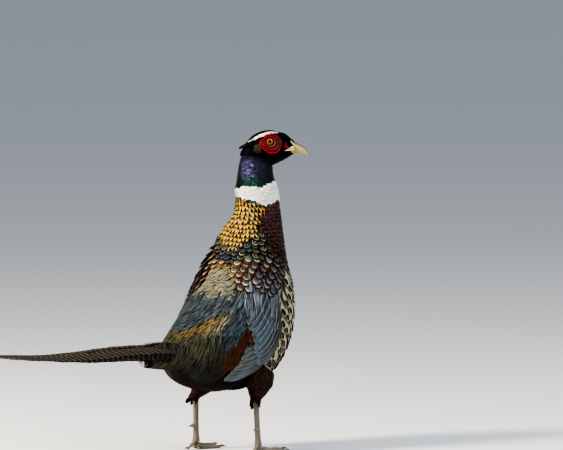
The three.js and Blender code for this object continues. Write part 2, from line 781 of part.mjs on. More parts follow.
function place(name, made, look) {
  const { vertProperties, triVerts, numProp } = made.getMesh();
  const positions = new Float32Array((vertProperties.length / numProp) * 3);
  for (let i = 0; i < positions.length / 3; i++)
    positions.set(vertProperties.subarray(i * numProp, i * numProp + 3), i * 3);
  const geometry = new THREE.BufferGeometry();
  geometry.setAttribute("position", new THREE.BufferAttribute(positions, 3));
  geometry.setIndex(new THREE.BufferAttribute(triVerts, 1));
  const mesh = new THREE.Mesh(geometry, look);
  mesh.name = name;
  bird.add(mesh);
}

place("torso", makeTorso(), plumage.torso);
place("neck_lower", trunkPiece(LOWER_NECK_SPAN, 5), plumage.neck);
place("neck_ring", trunkPiece(RING_SPAN, 2), plumage.ring);
place("neck_upper", trunkPiece(UPPER_NECK_SPAN, 2), plumage.gloss);
place("head", makeHead(), plumage.gloss);
place("bill_upper", makeUpperBill(), plumage.bill);
place("bill_lower", makeLowerBill(), plumage.bill);
place("tail", makeTail(), plumage.tail);

const wing = makeWing();
place("wing_right", wing, plumage.wing);
place("wing_left", mirrored(wing), plumage.wing);

for (const [name, side] of [["right", 1], ["left", -1]]) {
  place("eye_" + name, makeEye(side), plumage.eye);
  place("wattle_" + name, makeWattle(side), plumage.face);
}

const roomyTorso = makeTorso(1, TORSO_RINGS, GAP);
const legPieces = [
  ["thigh", makeThigh(roomyTorso), plumage.thigh],
  ["shank", makeShank(), plumage.leg],
  ["foot", makeFoot(), plumage.leg],
  ...TOES.map((toe) => ["claw_" + toe.name, makeClaw(toe), plumage.claw]),
];
for (const [name, made, look] of legPieces) {
  place(name + "_right", made, look);
  place(name + "_left", mirrored(made), look);
}

// The origin is the middle of the bird's bounding box, on the floor.
const reach = new THREE.Box3().setFromObject(bird);
const middle = reach.getCenter(new THREE.Vector3());
bird.position.set(-middle.x, -middle.y, -reach.min.z);

export default bird;
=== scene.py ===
# %% [markdown]
# # A cock pheasant, feather by feather
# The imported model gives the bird's true size, its pose and the place of every part. This lesson dresses it: a skin
# under the coat, feathers laid in rows over the skin, the long feathers of wing and tail, and the bare parts, which
# are the face, bill, eyes and legs. Everything is worked out in millimetres and written in metres at the end.

# %% The frame
import math

import bpy
import numpy as np
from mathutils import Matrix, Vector


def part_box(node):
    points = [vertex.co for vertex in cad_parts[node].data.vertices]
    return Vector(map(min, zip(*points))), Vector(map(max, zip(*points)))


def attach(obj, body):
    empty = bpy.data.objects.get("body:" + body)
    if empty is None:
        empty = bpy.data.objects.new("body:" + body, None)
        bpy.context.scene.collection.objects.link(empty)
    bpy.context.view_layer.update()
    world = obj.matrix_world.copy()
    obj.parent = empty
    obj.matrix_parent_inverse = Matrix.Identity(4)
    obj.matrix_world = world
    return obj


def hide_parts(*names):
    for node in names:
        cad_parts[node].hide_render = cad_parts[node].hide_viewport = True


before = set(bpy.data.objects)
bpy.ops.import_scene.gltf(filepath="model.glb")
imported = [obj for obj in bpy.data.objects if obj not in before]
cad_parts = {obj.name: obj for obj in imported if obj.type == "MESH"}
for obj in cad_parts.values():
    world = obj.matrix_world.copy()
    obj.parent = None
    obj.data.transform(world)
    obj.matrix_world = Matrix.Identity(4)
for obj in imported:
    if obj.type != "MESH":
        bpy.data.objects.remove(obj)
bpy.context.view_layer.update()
BODY = "root"
draw = np.random.default_rng(21)

# %% [markdown]
# ## Places on the head
# The head is turned over the right shoulder, so its parts are placed in a frame of their own: p runs forward along
# the bill, l to the bird's right and z up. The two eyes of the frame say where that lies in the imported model. The
# shift could be typed in as a number, but measured like this it stays true when the model is packed again.

# %% Head frame and the way to the scene
MM = 0.001
HEAD_TURN = math.radians(-55)
HEAD_COS, HEAD_SIN = math.cos(HEAD_TURN), math.sin(HEAD_TURN)
HEAD_X, HEAD_Y = 51.0, -7.0
EYE_P, EYE_Z, EYE_RADIUS, EYE_MIDDLE = 18.0, 376.1, 6.4, 10.2
SIDES = {"right": 1, "left": -1}


def points_of(x, y, z):
    """Stacks three arrays, or numbers, into an array of points."""
    return np.stack(np.broadcast_arrays(x, y, z), axis=-1).astype(float)


def from_head(p, l, z):
    """Head frame to the bird's frame: the middle of the head, plus p forward, plus l to the right."""
    return points_of(HEAD_X + p * HEAD_COS + l * HEAD_SIN, HEAD_Y + p * HEAD_SIN - l * HEAD_COS, z)


def to_head(points):
    """The bird's frame to the head frame: the parts of a point along forward and right."""
    x, y = points[..., 0] - HEAD_X, points[..., 1] - HEAD_Y
    return x * HEAD_COS + y * HEAD_SIN, x * HEAD_SIN - y * HEAD_COS, points[..., 2]


eye_boxes = np.array([[list(corner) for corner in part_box("eye_" + side)] for side in SIDES])
ORIGIN = eye_boxes.mean(axis=(0, 1)) / MM - from_head(EYE_P, 0, EYE_Z)
print("from the bird's frame to the scene, mm:", ORIGIN.round(3))

# %% [markdown]
# ## The body as a surface of two parameters
# A bird's body under its feathers is a spindle that runs from the root of the tail to the head. It could be sculpted,
# but a table of stations is easier to set against a photograph: each row gives the back, the belly, the half width,
# a sideways shift and a turn. A point on the body is then a station t and an angle from the back, and every feather
# on the body is placed with those two numbers. The skull is a second surface of this kind.

# %% Stations and the surface
TRUNK = np.array([
    # station, back x and z, belly x and z, half width, shift, turn in degrees
    [-2, -170, 142, -168, 116, 12, 0, 0],
    [-1, -140, 141, -137, 112, 15, 0, 0],
    [0, -112, 140, -106, 108, 20, 0, 0],
    [1, -92, 152, -86, 91, 33, 0, 0],
    [2, -68, 167, -60, 82, 44, 0, 0],
    [3, -42, 187, -28, 77, 51, 0, 0],
    [4, -20, 211, 16, 75, 56, 0, 0],
    [5, -2, 236, 60, 87, 58, 0, 0],
    [6, 9, 256, 91, 120, 56, 0, 0],
    [7, 16.5, 271, 103, 165, 49, 0, 0],
    [8, 21, 282.5, 101, 207, 36.5, -2, 0],
    [9, 24, 290, 95, 240, 28, -5.5, -6],
    [10, 27, 299, 88, 268.5, 24.8, -7, -16],
    [11, 29, 307.5, 83, 293, 24.4, -7, -28],
    [12, 27.8, 318.5, 79, 317, 23.6, -6.5, -40],
    [13, 28.6, 333, 73, 334, 20.8, -6.5, -50],
    [14, 31, 350, 70.5, 351, 19.8, -7, -55],
    [15, 34.5, 364, 64, 361, 12.5, -7, -55],
])
FULLNESS = 2.2
UP = np.array([0.0, 0.0, 1.0])


def through(rows, x):
    """A smooth curve through rows of numbers, for all columns at once. Between two rows it is the cubic whose slope
    at each row is that of the line between the rows on either side."""
    x = np.asarray(x, float)
    places, values = rows[:, 0], rows[:, 1:]
    slopes = np.empty_like(values)
    slopes[1:-1] = (values[2:] - values[:-2]) / (places[2:] - places[:-2])[:, None]
    slopes[0] = (values[1] - values[0]) / (places[1] - places[0])
    slopes[-1] = (values[-1] - values[-2]) / (places[-1] - places[-2])
    i = np.clip(np.searchsorted(places, x, side="right") - 1, 0, len(places) - 2)
    step = places[i + 1] - places[i]
    s = np.clip((x - places[i]) / step, 0, 1)[..., None]
    step = step[..., None]
    return (
        (2 * s**3 - 3 * s**2 + 1) * values[i] + (s**3 - 2 * s**2 + s) * step * slopes[i]
        + (3 * s**2 - 2 * s**3) * values[i + 1] + (s**3 - s**2) * step * slopes[i + 1]
    )


def columns(rows, x):
    """The columns of a table on its smooth curve, one array for each."""
    return np.moveaxis(through(rows, x), -1, 0)


def fuller(v):
    """A sine or cosine raised to a power just under one, which fills an ellipse out a little."""
    return np.sign(v) * np.abs(v) ** (2 / FULLNESS)


def trunk(t, angle, out=0.0):
    """The middle of the section at t, plus its axis towards the back times the cosine of the angle, plus its axis to
    the right times the sine, both axes longer by out."""
    bx, bz, vx, vz, half, shift, turn = columns(TRUNK, t)
    yaw, reach, rise = np.radians(turn), (bx - vx) / 2, (bz - vz) / 2
    height = np.hypot(reach, rise)
    up_share = fuller(np.cos(angle)) * (height + out) / height
    side = fuller(np.sin(angle)) * (half + out)
    x = (bx + vx) / 2 + reach * np.cos(yaw) * up_share + np.sin(yaw) * side
    y = shift + reach * np.sin(yaw) * up_share - np.cos(yaw) * side
    return points_of(x, y, (bz + vz) / 2 + rise * up_share)


def unit(v):
    """Vectors brought to length one."""
    return v / np.maximum(np.linalg.norm(v, axis=-1, keepdims=True), 1e-9)


def dot(a, b):
    """The dot product of vectors, kept as a last column."""
    return (a * b).sum(axis=-1, keepdims=True)


print("the two sides of the breast, mm:", trunk(6.0, np.array([-math.pi / 2, math.pi / 2])).round(1).tolist())

# %% The skull
HEAD = np.array([
    # p, top z, bottom z, half width
    [-18, 364, 358, 2.5], [-13, 373, 350, 10], [-5, 382, 346, 14.5], [5, 387.6, 344, 16.8], [17, 389.8, 346, 17],
    [28, 387.6, 350.5, 14.8], [36, 385.6, 354.6, 11.4], [42, 380.8, 358.3, 8.2], [45, 378.0, 360.2, 7.3],
    [49, 374.9, 361.2, 6.4],
])
SKULL_BACK, SKULL_FRONT, SKULL_MARGIN = -17, 42, 0.6


def skull(p, angle, out=0.0):
    """The middle of the section at p, plus cosine times the half height, plus sine times the half width."""
    top, bottom, half = columns(HEAD, p)
    z = (top + bottom) / 2 + np.cos(angle) * ((top - bottom) / 2 + out)
    return from_head(p, np.sin(angle) * (half + out), z)


def inside_skull(points):
    """True in the skull: height and side, each as a share of the section's, have squares that sum to less than 1."""
    p, l, z = to_head(points)
    top, bottom, half = columns(HEAD, p)
    tall = (z - (top + bottom) / 2) / ((top - bottom) / 2 - SKULL_MARGIN)
    return (tall**2 + (l / (half - SKULL_MARGIN)) ** 2 < 1) & (p > SKULL_BACK) & (p < SKULL_FRONT)


print("crown and chin, mm:", skull(17.0, np.array([0, math.pi])).round(1).tolist())

# %% [markdown]
# ## Writing a mesh
# A mesh can be made with bmesh, one face at a time, or written as whole arrays. Arrays are faster and the formula of
# a shape stays in one place, so every piece here is an array of points and an array of faces. A piece rides on the
# bird's one body and may replace the plain solids that it stands for.

# %% From arrays to a piece
def new_mesh(name, points, *faces):
    """A mesh from points in the bird's frame and arrays of faces, each array with equally many corners a face."""
    mesh = bpy.data.meshes.new(name)
    mesh.vertices.add(len(points))
    mesh.vertices.foreach_set("co", ((points + ORIGIN) * MM).astype(np.float32).ravel())
    corners = np.concatenate([group.ravel() for group in faces])
    sizes = np.concatenate([np.full(len(group), group.shape[1]) for group in faces])
    mesh.loops.add(len(corners))
    mesh.loops.foreach_set("vertex_index", corners.astype(np.int32))
    mesh.polygons.add(len(sizes))
    mesh.polygons.foreach_set("loop_start", (np.cumsum(sizes) - sizes).astype(np.int32))
    mesh.polygons.foreach_set("use_smooth", np.ones(len(sizes), bool))
    mesh.update(calc_edges=True)
    return mesh


def in_scene(name, data):
    """A new object of the scene, at the origin."""
    made = bpy.data.objects.new(name, data)
    bpy.context.scene.collection.objects.link(made)
    return made


def dress(name, mesh, slot, material, stands_for=()):
    """Makes a piece of a mesh: an object at the origin that rides on the body."""
    piece = in_scene(name, mesh)
    mesh.materials.append(material)
    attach(piece, BODY)
    if stands_for:
        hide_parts(*stands_for)
    mesh.calc_loop_triangles()
    print(f"{name}: {len(mesh.loop_triangles)} triangles")
    return piece


def set_uv(mesh, name, per_point):
    """Gives each corner of a face the two numbers of its point."""
    corners = np.empty(len(mesh.loops), np.int32)
    mesh.loops.foreach_get("vertex_index", corners)
    mesh.uv_layers.new(name=name).data.foreach_set("uv", per_point[corners].astype(np.float32).ravel())


def set_colours(mesh, name, per_point):
    """Stores a colour, or three plain numbers, at each point, or the same for all."""
    rgba = np.ones((len(mesh.vertices), 4), np.float32)
    rgba[:, :3] = per_point
    mesh.attributes.new(name, "FLOAT_COLOR", "POINT").data.foreach_set("color", rgba.ravel())


def cells_of(index):
    """Four-cornered faces between the neighbours of a grid of point numbers."""
    return np.stack([index[:-1, :-1], index[:-1, 1:], index[1:, 1:], index[1:, :-1]], axis=-1).reshape(-1, 4)


def ring_faces(rows, count):
    """Four-cornered faces of a grid of points whose last column joins its first."""
    index = np.arange(rows * count).reshape(rows, count)
    return cells_of(np.concatenate([index, index[:, :1]], axis=1))


def round_grid(along, count):
    """The places along a tube and equal angles round it, as a grid."""
    return np.meshgrid(along, np.arange(count) * 2 * math.pi / count, indexing="ij")


# %% [markdown]
# ## Paint
# Materials are node trees. Wiring them by hand takes many lines, so a small class wraps a socket: sums on it add
# Math nodes, and an expression such as 1 - mask reads as it would on paper. All other nodes come from one method. A
# colour may be given by its name in the palette further on.

# %% A socket that can be reckoned with, and a material made of such sockets
class Wire:
    """A value on its way through a material."""

    def __init__(self, paint, socket):
        self.paint, self.socket = paint, socket

    def reckon(self, operation, *values):
        """A Math node of one operation."""
        return self.paint.node("ShaderNodeMath", {"operation": operation}, *values)

    def __add__(self, other): return self.reckon("ADD", self, other)
    def __sub__(self, other): return self.reckon("SUBTRACT", self, other)
    def __rsub__(self, other): return self.reckon("SUBTRACT", other, self)
    def __mul__(self, other): return self.reckon("MULTIPLY", self, other)
    def __truediv__(self, other): return self.reckon("DIVIDE", self, other)
    def __pow__(self, other): return self.reckon("POWER", self, other)
    def __abs__(self): return self.reckon("ABSOLUTE", self)
    __radd__, __rmul__ = __add__, __mul__

    def least(self, other): return self.reckon("MINIMUM", self, other)
    def most(self, other): return self.reckon("MAXIMUM", self, other)
    def wave(self, length): return self.reckon("SINE", self * (2 * math.pi / length)) * 0.5 + 0.5

    def past(self, low, high):
        """0 below low, 1 above high and smooth in between."""
        return self.paint.node(
            "ShaderNodeMapRange", {"interpolation_type": "SMOOTHSTEP"}, self, low, high, 0.0, 1.0
        )


class Paint:
    """One material: a Principled shader with fixed values, and wires that lead to its colour, gloss and relief."""

    def __init__(self, name, **fixed):
        self.material = bpy.data.materials.new(name)
        self.material.use_nodes = True
        self.tree = self.material.node_tree
        self.tree.nodes.clear()
        self.shader = self.tree.nodes.new("ShaderNodeBsdfPrincipled")
        output = self.tree.nodes.new("ShaderNodeOutputMaterial")
        self.tree.links.new(self.shader.outputs[0], output.inputs[0])
        for socket, value in fixed.items():
            self.shader.inputs[socket.replace("_", " ")].default_value = value

    def feed(self, socket, value):
        """Leads a wire to a socket, or sets a colour of the palette or a plain value on it."""
        if isinstance(value, Wire):
            self.tree.links.new(value.socket, socket)
        else:
            socket.default_value = INK[value] if isinstance(value, str) else value

    def node(self, kind, settings, *values, at=None, out=0, **named):
        """Adds a node: its settings first, then the values or wires of its first sockets, of those at given numbers
        and of those with given names."""
        made = self.tree.nodes.new(kind)
        for key, value in settings.items():
            setattr(made, key, value)
        for slot, value in [*enumerate(values), *(at or {}).items(), *named.items()]:
            self.feed(made.inputs[slot], value)
        return Wire(self, made.outputs[out])

    def mix(self, share, first, second):
        """A colour between two colours, which are sockets 6 and 7 of the Mix node."""
        return self.node("ShaderNodeMix", {"data_type": "RGBA"}, share, at={6: first, 7: second}, out=2)

    def shade(self, colour, amount):
        """A colour multiplied by a wire."""
        return self.node("ShaderNodeVectorMath", {"operation": "SCALE"}, colour, Scale=amount)

    def parts(self, wire):
        """The three numbers of a vector or colour."""
        return [self.node("ShaderNodeSeparateXYZ", {}, wire, out=i) for i in range(3)]

    def place(self):
        """The place on the object."""
        return self.node("ShaderNodeTexCoord", {}, out="Object")

    def noise(self, size):
        """Cloudy noise whose lumps are size millimetres across."""
        return self.node("ShaderNodeTexNoise", {}, Vector=self.place(), Scale=1 / (size * MM), Detail=2.0)

    def attribute(self, name):
        """The three numbers stored with each point."""
        return self.node("ShaderNodeAttribute", {"attribute_name": name})

    def uv(self, name):
        """The two numbers of a map, across and along."""
        return self.parts(self.node("ShaderNodeUVMap", {"uv_map": name}))[:2]

    def finish(self, colour, roughness=None, height=None, depth=0, metal=None):
        """Leads wires to the shader. The relief is a height times a depth in millimetres."""
        for socket, value in {"Base Color": colour, "Roughness": roughness, "Metallic": metal}.items():
            if value is not None:
                self.feed(self.shader.inputs[socket], value)
        if height is not None:
            bump = self.node("ShaderNodeBump", {}, Height=height, Distance=depth * MM, Strength=1.0)
            self.feed(self.shader.inputs["Normal"], bump)
        return self.material


def ink(text):
    """A colour written as red, green and blue in hexadecimal, in the numbers that a shader reckons with."""
    shares = np.array([int(text[i:i + 2], 16) for i in (0, 2, 4)]) / 255
    linear = np.where(shares < 0.04045, shares / 12.92, ((shares + 0.055) / 1.055) ** 2.4)
    return (*linear.tolist(), 1.0)


# %% [markdown]
# ## One feather
# A small body feather is a spoon: narrow at its root, widest past its middle, round at its tip and slightly arched
# over the body. As a flat card it would vanish edge on and let light through, so it is a closed cushion of two grids
# that share their rim. The grids are coarse, because there are thousands of feathers. A strand, which is a feather so
# loose that it looks like hair, is a rod of three sides.

# %% Cells of a feather and of a strand
def feather_cells(across, places):
    """A grid of u from -1 to 1 across and v from 0 at the root to 1 at the tip, and a second one beneath it that
    shares the rim. Each point has its u, its v, its row and its face: 1 above, -1 beneath and 0 on the rim."""
    v, u = np.meshgrid(places, np.linspace(-1, 1, across + 1), indexing="ij")
    rim = np.ones(u.shape, bool)
    rim[1:-1, 1:-1] = False
    top = np.arange(u.size).reshape(u.shape)
    beneath = top.copy()
    beneath[~rim] = u.size + np.arange((~rim).sum())
    rows = np.broadcast_to(np.arange(len(places))[:, None], u.shape)

    def both(above, below):
        """The numbers of all points above, then those of the points beneath that aren't on the rim."""
        return np.concatenate([above.ravel(), below[~rim]])

    return dict(u=both(u, u), v=both(v, v), row=both(rows, rows), face=both(np.where(rim, 0, 1), -np.ones(u.shape)),
                cells=np.concatenate([cells_of(top)[:, ::-1], cells_of(beneath)]), places=np.asarray(places, float))


SMALL = feather_cells(2, [0, 0.4, 0.7, 0.88, 1])
MIDDLE = feather_cells(4, [0, 0.3, 0.55, 0.75, 0.9, 1])
BROAD = feather_cells(6, [0, 0.3, 0.55, 0.72, 0.84, 0.93, 1])
LARGE = feather_cells(4, [0, 0.12, 0.25, 0.38, 0.5, 0.62, 0.74, 0.84, 0.92, 0.97, 1])
print("triangles a feather:", [2 * len(kind["cells"]) for kind in (SMALL, MIDDLE, BROAD, LARGE)])

# %% [markdown]
# ## Laying a feather down
# Feathers grow backwards from the skin and lie like tiles. Each one starts inside the coat, runs over the body in
# the direction of its lie, rises slowly and ends in the open, so that the rows behind it slip underneath. The lie is
# the way to the tail, bent towards the ground by the feather's own weight. It is walked in short steps on the surface
# for all feathers of a patch at once.

# %% The walk
def measure(surface, s, angle):
    """A point of the surface, how it moves with each parameter, and the direction out of the body."""
    step = 0.01
    ahead = (surface(s + step, angle) - surface(s - step, angle)) / (2 * step)
    round_ = (surface(s, angle + step) - surface(s, angle - step)) / (2 * step)
    return surface(s, angle), ahead, round_, unit(np.cross(round_, ahead))


def walk(surface, s, angle, length, places, pull, swing):
    """Walks from each root: a step is the way back along the surface times one less the pull, plus the way down times
    the pull, turned sideways by the swing. Returns the points, the directions out, and the parameters reached."""
    spots, outs, reached = [], [], []
    s, angle = s.copy(), angle.copy()
    for j, place in enumerate(places):
        point, ahead, round_, out = measure(surface, s, angle)
        spots.append(point), outs.append(out), reached.append((s.copy(), angle.copy()))
        if j + 1 < len(places):
            down = -UP + dot(UP, out) * out
            way = unit(unit(-ahead) * (1 - pull) + down * pull)
            way = unit(way + np.cross(out, way) * swing[:, None]) * (length * (places[j + 1] - place))[:, None]
            pairs = ((ahead, ahead), (ahead, round_), (round_, round_), (way, ahead), (way, round_))
            aa, ar, rr, wa, wr = (dot(*pair)[:, 0] for pair in pairs)
            spread = np.maximum(aa * rr - ar * ar, 1e-6)
            s += (wa * rr - wr * ar) / spread
            angle += (wr * aa - wa * ar) / spread
    return np.stack(spots, 1), np.stack(outs, 1), reached


# %% Spreading the vane along its spine
def feather_points(kind, spine, out, half, shape):
    """Each point of a vane is its spine, plus across times u times the half width at v, less the arch times u squared,
    plus or minus the thickness, and drawn back near the tip by the roundness times u squared."""
    along = unit(np.gradient(spine, axis=1))
    across = unit(np.cross(along, out))
    out = np.cross(across, along)
    u, v, face, row = kind["u"], kind["v"], kind["face"], kind["row"]
    root, tip, round_, arch, thick = (shape[k] for k in ("root", "tip", "round", "arch", "thick"))
    swell = np.minimum(1, root + (1 - root) * np.sin(np.minimum(v / shape["full"], 1) * math.pi / 2))
    narrow = 1 - (1 - tip) * np.clip((v - shape["taper"]) / (1 - shape["taper"]), 0, 1) ** 1.6
    width = half[:, None] * (swell * narrow)
    ease = np.clip((v - 0.45) / 0.55, 0, 1) ** 1.5
    lift = face * thick * (1 - u**2) * np.sqrt(np.clip(1.02 - v, 0, 1)) - arch * u**2 * width
    return (
        spine[:, row] + across[:, row] * (u * width)[..., None] + out[:, row] * lift[..., None]
        - along[:, row] * (round_ * u**2 * ease * half[:, None])[..., None]
    )


BAKE_PATCH, BAKE_LONG_PATCH = 0.003, 0.02


def bake_patch(kind, s_share, angle_share, size=BAKE_PATCH):
    """Where each point of each feather lies on the flat map that keeps its colours: a small patch at the place of its
    root on an unwrap of the skin."""
    x = angle_share[:, None] + kind["u"] * size / 2
    y = s_share[:, None] + (kind["v"] - 0.5) * size
    return np.stack([x, y], -1)


def plumage(name, kind, points, tones, patches, slot, material, stands_for=()):
    """Joins feathers to one piece. The map vane holds u and v, the tones hold three numbers a feather."""
    count, size = points.shape[:2]
    faces = (kind["cells"][None] + (np.arange(count) * size)[:, None, None]).reshape(-1, 4)
    mesh = new_mesh(name, points.reshape(-1, 3), faces)
    vane = np.stack([kind["u"] * 0.5 + 0.5, kind["v"]], -1)
    set_uv(mesh, "vane", np.tile(vane, (count, 1)))
    set_uv(mesh, "OFBake", patches.reshape(-1, 2))
    set_colours(mesh, "tones", np.repeat(tones, size, axis=0))
    ends = np.empty(2 * len(mesh.edges), np.int32)
    mesh.edges.foreach_get("vertices", ends)
    rim = np.tile(kind["face"] == 0, count)[ends.reshape(-1, 2)].all(axis=1)
    mesh.attributes.new("sharp_edge", "BOOLEAN", "EDGE").data.foreach_set("value", rim)
    return dress(name, mesh, slot, material, stands_for)


# %% [markdown]
# ## Rows of roots
# Feathers don't grow at random. They stand in rows one after another, each row shifted by half a feather, like
# bricks. Roots drawn at random would need far more feathers to cover the skin, so the rows are reckoned: they lie at
# equal distances from the front edge of a surface, measured along it, and along each row the roots are equally far
# apart. A little seeded disorder keeps them alive.

# %% Brick rows on a surface
DISORDER = 0.14


def lengths_along(net):
    """How far each point lies from the first one, along the chain of points."""
    steps = np.linalg.norm(np.diff(net, axis=0), axis=-1)
    return np.concatenate([np.zeros((1, *steps.shape[1:])), steps.cumsum(axis=0)])


def brick_rows(surface, s_front, s_back, along, across):
    """Roots as parameters of the surface, on curves of equal distance from s_front."""
    angles = np.linspace(-math.pi, math.pi, 181)
    s_fine = np.linspace(s_front, s_back, 260)
    net = surface(*np.meshgrid(s_fine, angles, indexing="ij"))
    gone = lengths_along(net)
    all_s, all_angles = [], []
    for k, distance in enumerate(np.arange(0.5 * along, gone[-1].max(), along)):
        s_row = np.array([np.interp(distance, gone[:, j], s_fine) for j in range(len(angles))])
        reach = lengths_along(surface(s_row, angles))
        count = max(4, round(reach[-1] / across))
        spots = (np.arange(count) + 0.5 * (k % 2) + draw.uniform(-DISORDER, DISORDER, count)) % count
        angle = np.interp(spots * reach[-1] / count, reach, angles)
        s_here = np.interp(angle, angles, s_row)
        whole = np.interp(angle, angles, gone[-1])
        wobble = draw.uniform(-DISORDER, DISORDER, count) * along
        s_here -= wobble * (s_front - s_back) / whole
        keep = whole > distance
        all_s.append(s_here[keep]), all_angles.append(angle[keep])
    return np.concatenate(all_s), np.concatenate(all_angles)


def degrees_from_back(angle):
    """The angle from the back, in degrees from 0 to 180, alike on both sides."""
    return np.abs((np.degrees(angle) + 180) % 360 - 180)


# %% [markdown]
# ## Which feather grows where
# A pheasant's coat is a map of sharply different tracts: gold on the mantle, copper on the breast, scaled shoulders,
# slate on the rump, loose olive and chestnut plumes that hang over the root of the tail, and spotted flanks. Each
# border of the map is a short row of places, an angle from the back and a station. Both sides are alike, but for the
# saddle, which reaches further round on the left, and the slate of the rump, which reaches further back there.

# %% Borders and the map
RING_TOP = [(0, 11.9), (15, 12.0), (30, 12.12), (60, 12.2), (80, 12.15), (95, 12.15), (110, 12.3), (140, 12.5)]
RING_LOW = [(0, 11.1), (30, 10.9), (60, 11.05), (72, 10.78), (85, 10.85), (97, 11.0), (112, 11.25), (130, 11.4)]
COLLAR_DEPTH = 0.42
MANTLE_LOW = [(0, 5.3), (8, 5.5), (13, 5.75), (22, 6.2), (28, 6.5), (33, 7.0), (41, 7.9), (47, 8.6), (55, 9.3),
              (70, 9.7), (78, 10.0), (82, 10.5), (84, 12)]
COPPER_LOW = [(38, 7.8), (42, 7.3), (50, 7.0), (60, 6.8), (75, 6.9), (90, 7.1), (110, 7.2), (125, 7.0), (140, 6.3),
              (160, 5.6), (180, 5.4)]
BAND_LOW = [(0, 4.6), (15, 4.95), (22, 5.25), (30, 5.4), (40, 5.6), (50, 5.8), (60, 6.15), (70, 6.4), (80, 6.7)]
SHOULDER_LOW = [(0, 4.45), (10, 4.4), (17, 4.0), (25, 3.65), (30, 3.5), (38, 3.9), (48, 4.1), (60, 4.45),
                (68, 4.9), (73, 5.3), (77, 5.7), (80, 6.1), (84, 6.7)]
SADDLE_LOW = [(0, 3.05), (15, 3.3), (25, 3.35), (30, 3.4), (50, 3.4)]
WING_FRONT = [(40, 4.0), (48, 4.3), (60, 4.7), (68, 5.1), (73, 5.5), (77, 5.7), (79, 5.35), (87, 4.85),
              (100, 4.65), (110, 4.5), (116, 4.3), (121, 4.05), (124, 3.85), (128, 3.4), (136, 2.95)]
WING_BACK = [(40, 3.9), (48, 3.4), (60, 3.3), (80, 3.4), (92, 3.35), (100, 2.9), (115, 2.45), (130, 2.2)]
FLANK_LOW = [(84, 4.6), (100, 4.55), (116, 4.2), (124, 3.85), (138, 3.9), (150, 4.3), (156, 5.0)]
CHESTNUT_LOW = [(76, 3.2), (77, 2.8), (80, 2.65), (84, 2.45), (87, 1.9), (90, 1.75)]
SLATE_LOW = [(0, 1.0), (7, 1.1), (14, 1.45), (21, 1.95), (26, 2.25), (34, 2.6), (42, 2.9), (44, 2.75), (47, 2.5),
             (52, 2.1), (58, 1.95), (87, 1.95)]
SLATE_LOW_LEFT = [(0, 1.0), (23, 1.0), (55, 1.5), (87, 1.95)]
STRAW_LOW = [(0, 0.0), (20, 0.2), (30, 0.9), (45, 1.1), (55, 1.5), (60, 1.8)]
TRACTS = ["gloss", "ring", "collar", "mantle", "copper", "band", "shoulder", "flank", "saddle", "wing", "chestnut",
          "slate", "straw", "olive", "vent", "belly"]


def border(line, angle):
    """The station of a border at an angle from the back."""
    return np.interp(angle, *zip(*line))


def tract_at(t, angle):
    """The number of the tract at each place of the trunk: that of the first test which holds there, from the head to
    the tail. A test says how far round and how far along the body its tract reaches."""
    a = degrees_from_back(angle)
    left = np.sin(angle) < 0
    slate_low = np.where(left, border(SLATE_LOW_LEFT, a), border(SLATE_LOW, a))
    return np.select(
        [
            t > border(RING_TOP, a),
            t > border(RING_LOW, a),
            (t > border(RING_LOW, a) - COLLAR_DEPTH) & (a < 76),
            t > border(MANTLE_LOW, a),
            (a > 37) & (t > border(COPPER_LOW, a)),
            (a < 84) & (t > border(BAND_LOW, a)),
            (a < 84) & (t > border(SHOULDER_LOW, a)),
            (a > 77) & (a < 156) & (t > np.maximum(border(WING_FRONT, a + 4), border(FLANK_LOW, a))),
            (a < np.where(left, 50, 30)) & (t > border(SADDLE_LOW, a)),
            (a > 40) & (a < 140) & (t > border(WING_BACK, a)),
            (a > 76) & (a < 118) & (t > border(CHESTNUT_LOW, a)),
            (a < 87) & (t > slate_low),
            (a < 60) & (t > border(STRAW_LOW, a)),
            (a < 154) & (t < 1.75),
            (a > 138) & (t < 3.0),
        ],
        range(len(TRACTS) - 1),
        len(TRACTS) - 1,
    )


stations, angles = np.meshgrid(np.linspace(0, 13, 60), np.radians(np.linspace(-180, 180, 60)), indexing="ij")
shares = np.bincount(tract_at(stations, angles).ravel(), minlength=len(TRACTS)) / stations.size
print({name: round(float(share), 2) for name, share in zip(TRACTS, shares)})

# %% [markdown]
# ## Colours
# The colours are those of the species in low sun. They are kept in one place, because the skin, the feathers and the
# plumes have to agree. The skin takes the ground colour of the tract that grows on it.

# %% The palette
INK = {name: ink(code) for name, code in dict(
    # the coat
    black="060505", night="0a1014", teal="0c6f60", violet="7d72c8", white="f2efe6", cream="ddd0a6", gold="e0b358",
    rust="7c4220", copper="551a10", plum="2c0f18", moss="5f5e48", grey="83866f", buff="a1977a", slate="42525f",
    mist="8a9495", straw="7a7458", honey="8e7a4c", olive="3b3a30", chestnut="583214", umber="1e120d", ash="4b4a48",
    maroon="461214", pale="a3abb0", sand="b0a98a", tail="332a23", mauve="372b27", orange="d8741a",
    # the eye, from the pupil outward
    pupil="020202", iris_core="6a2406", iris_deep="c4500c", iris="f08a1c", iris_rim="5a2208", ball="1a100c",
    # the red face, from its folds to its furrows and its lid
    scarlet="b80c1e", blood="4a060c", furrow="26030a", wart="22040a", dusk="2a050a", lid_edge="0c0304", lid="b07a58",
    # bill, legs and claws
    horn="a5935e", horn_shade="8c7a4a", horn_tip="8d8460", ridge="191b16", flap="d8c98c", nostril="1a140e",
    scales="8c8372", scales_shade="6f685c", plate_edge="3c352c", claw="5a5148", claw_tip="1e1a16",
).items()}
TRACT_GROUND = dict(gloss="night", ring="white", collar="night", mantle="gold", copper="copper", band="moss",
                    shoulder="rust", flank="sand", saddle="buff", wing="slate", chestnut="chestnut", slate="slate",
                    straw="straw", vent="umber", olive="umber", belly="umber")
print(len(INK), "colours")

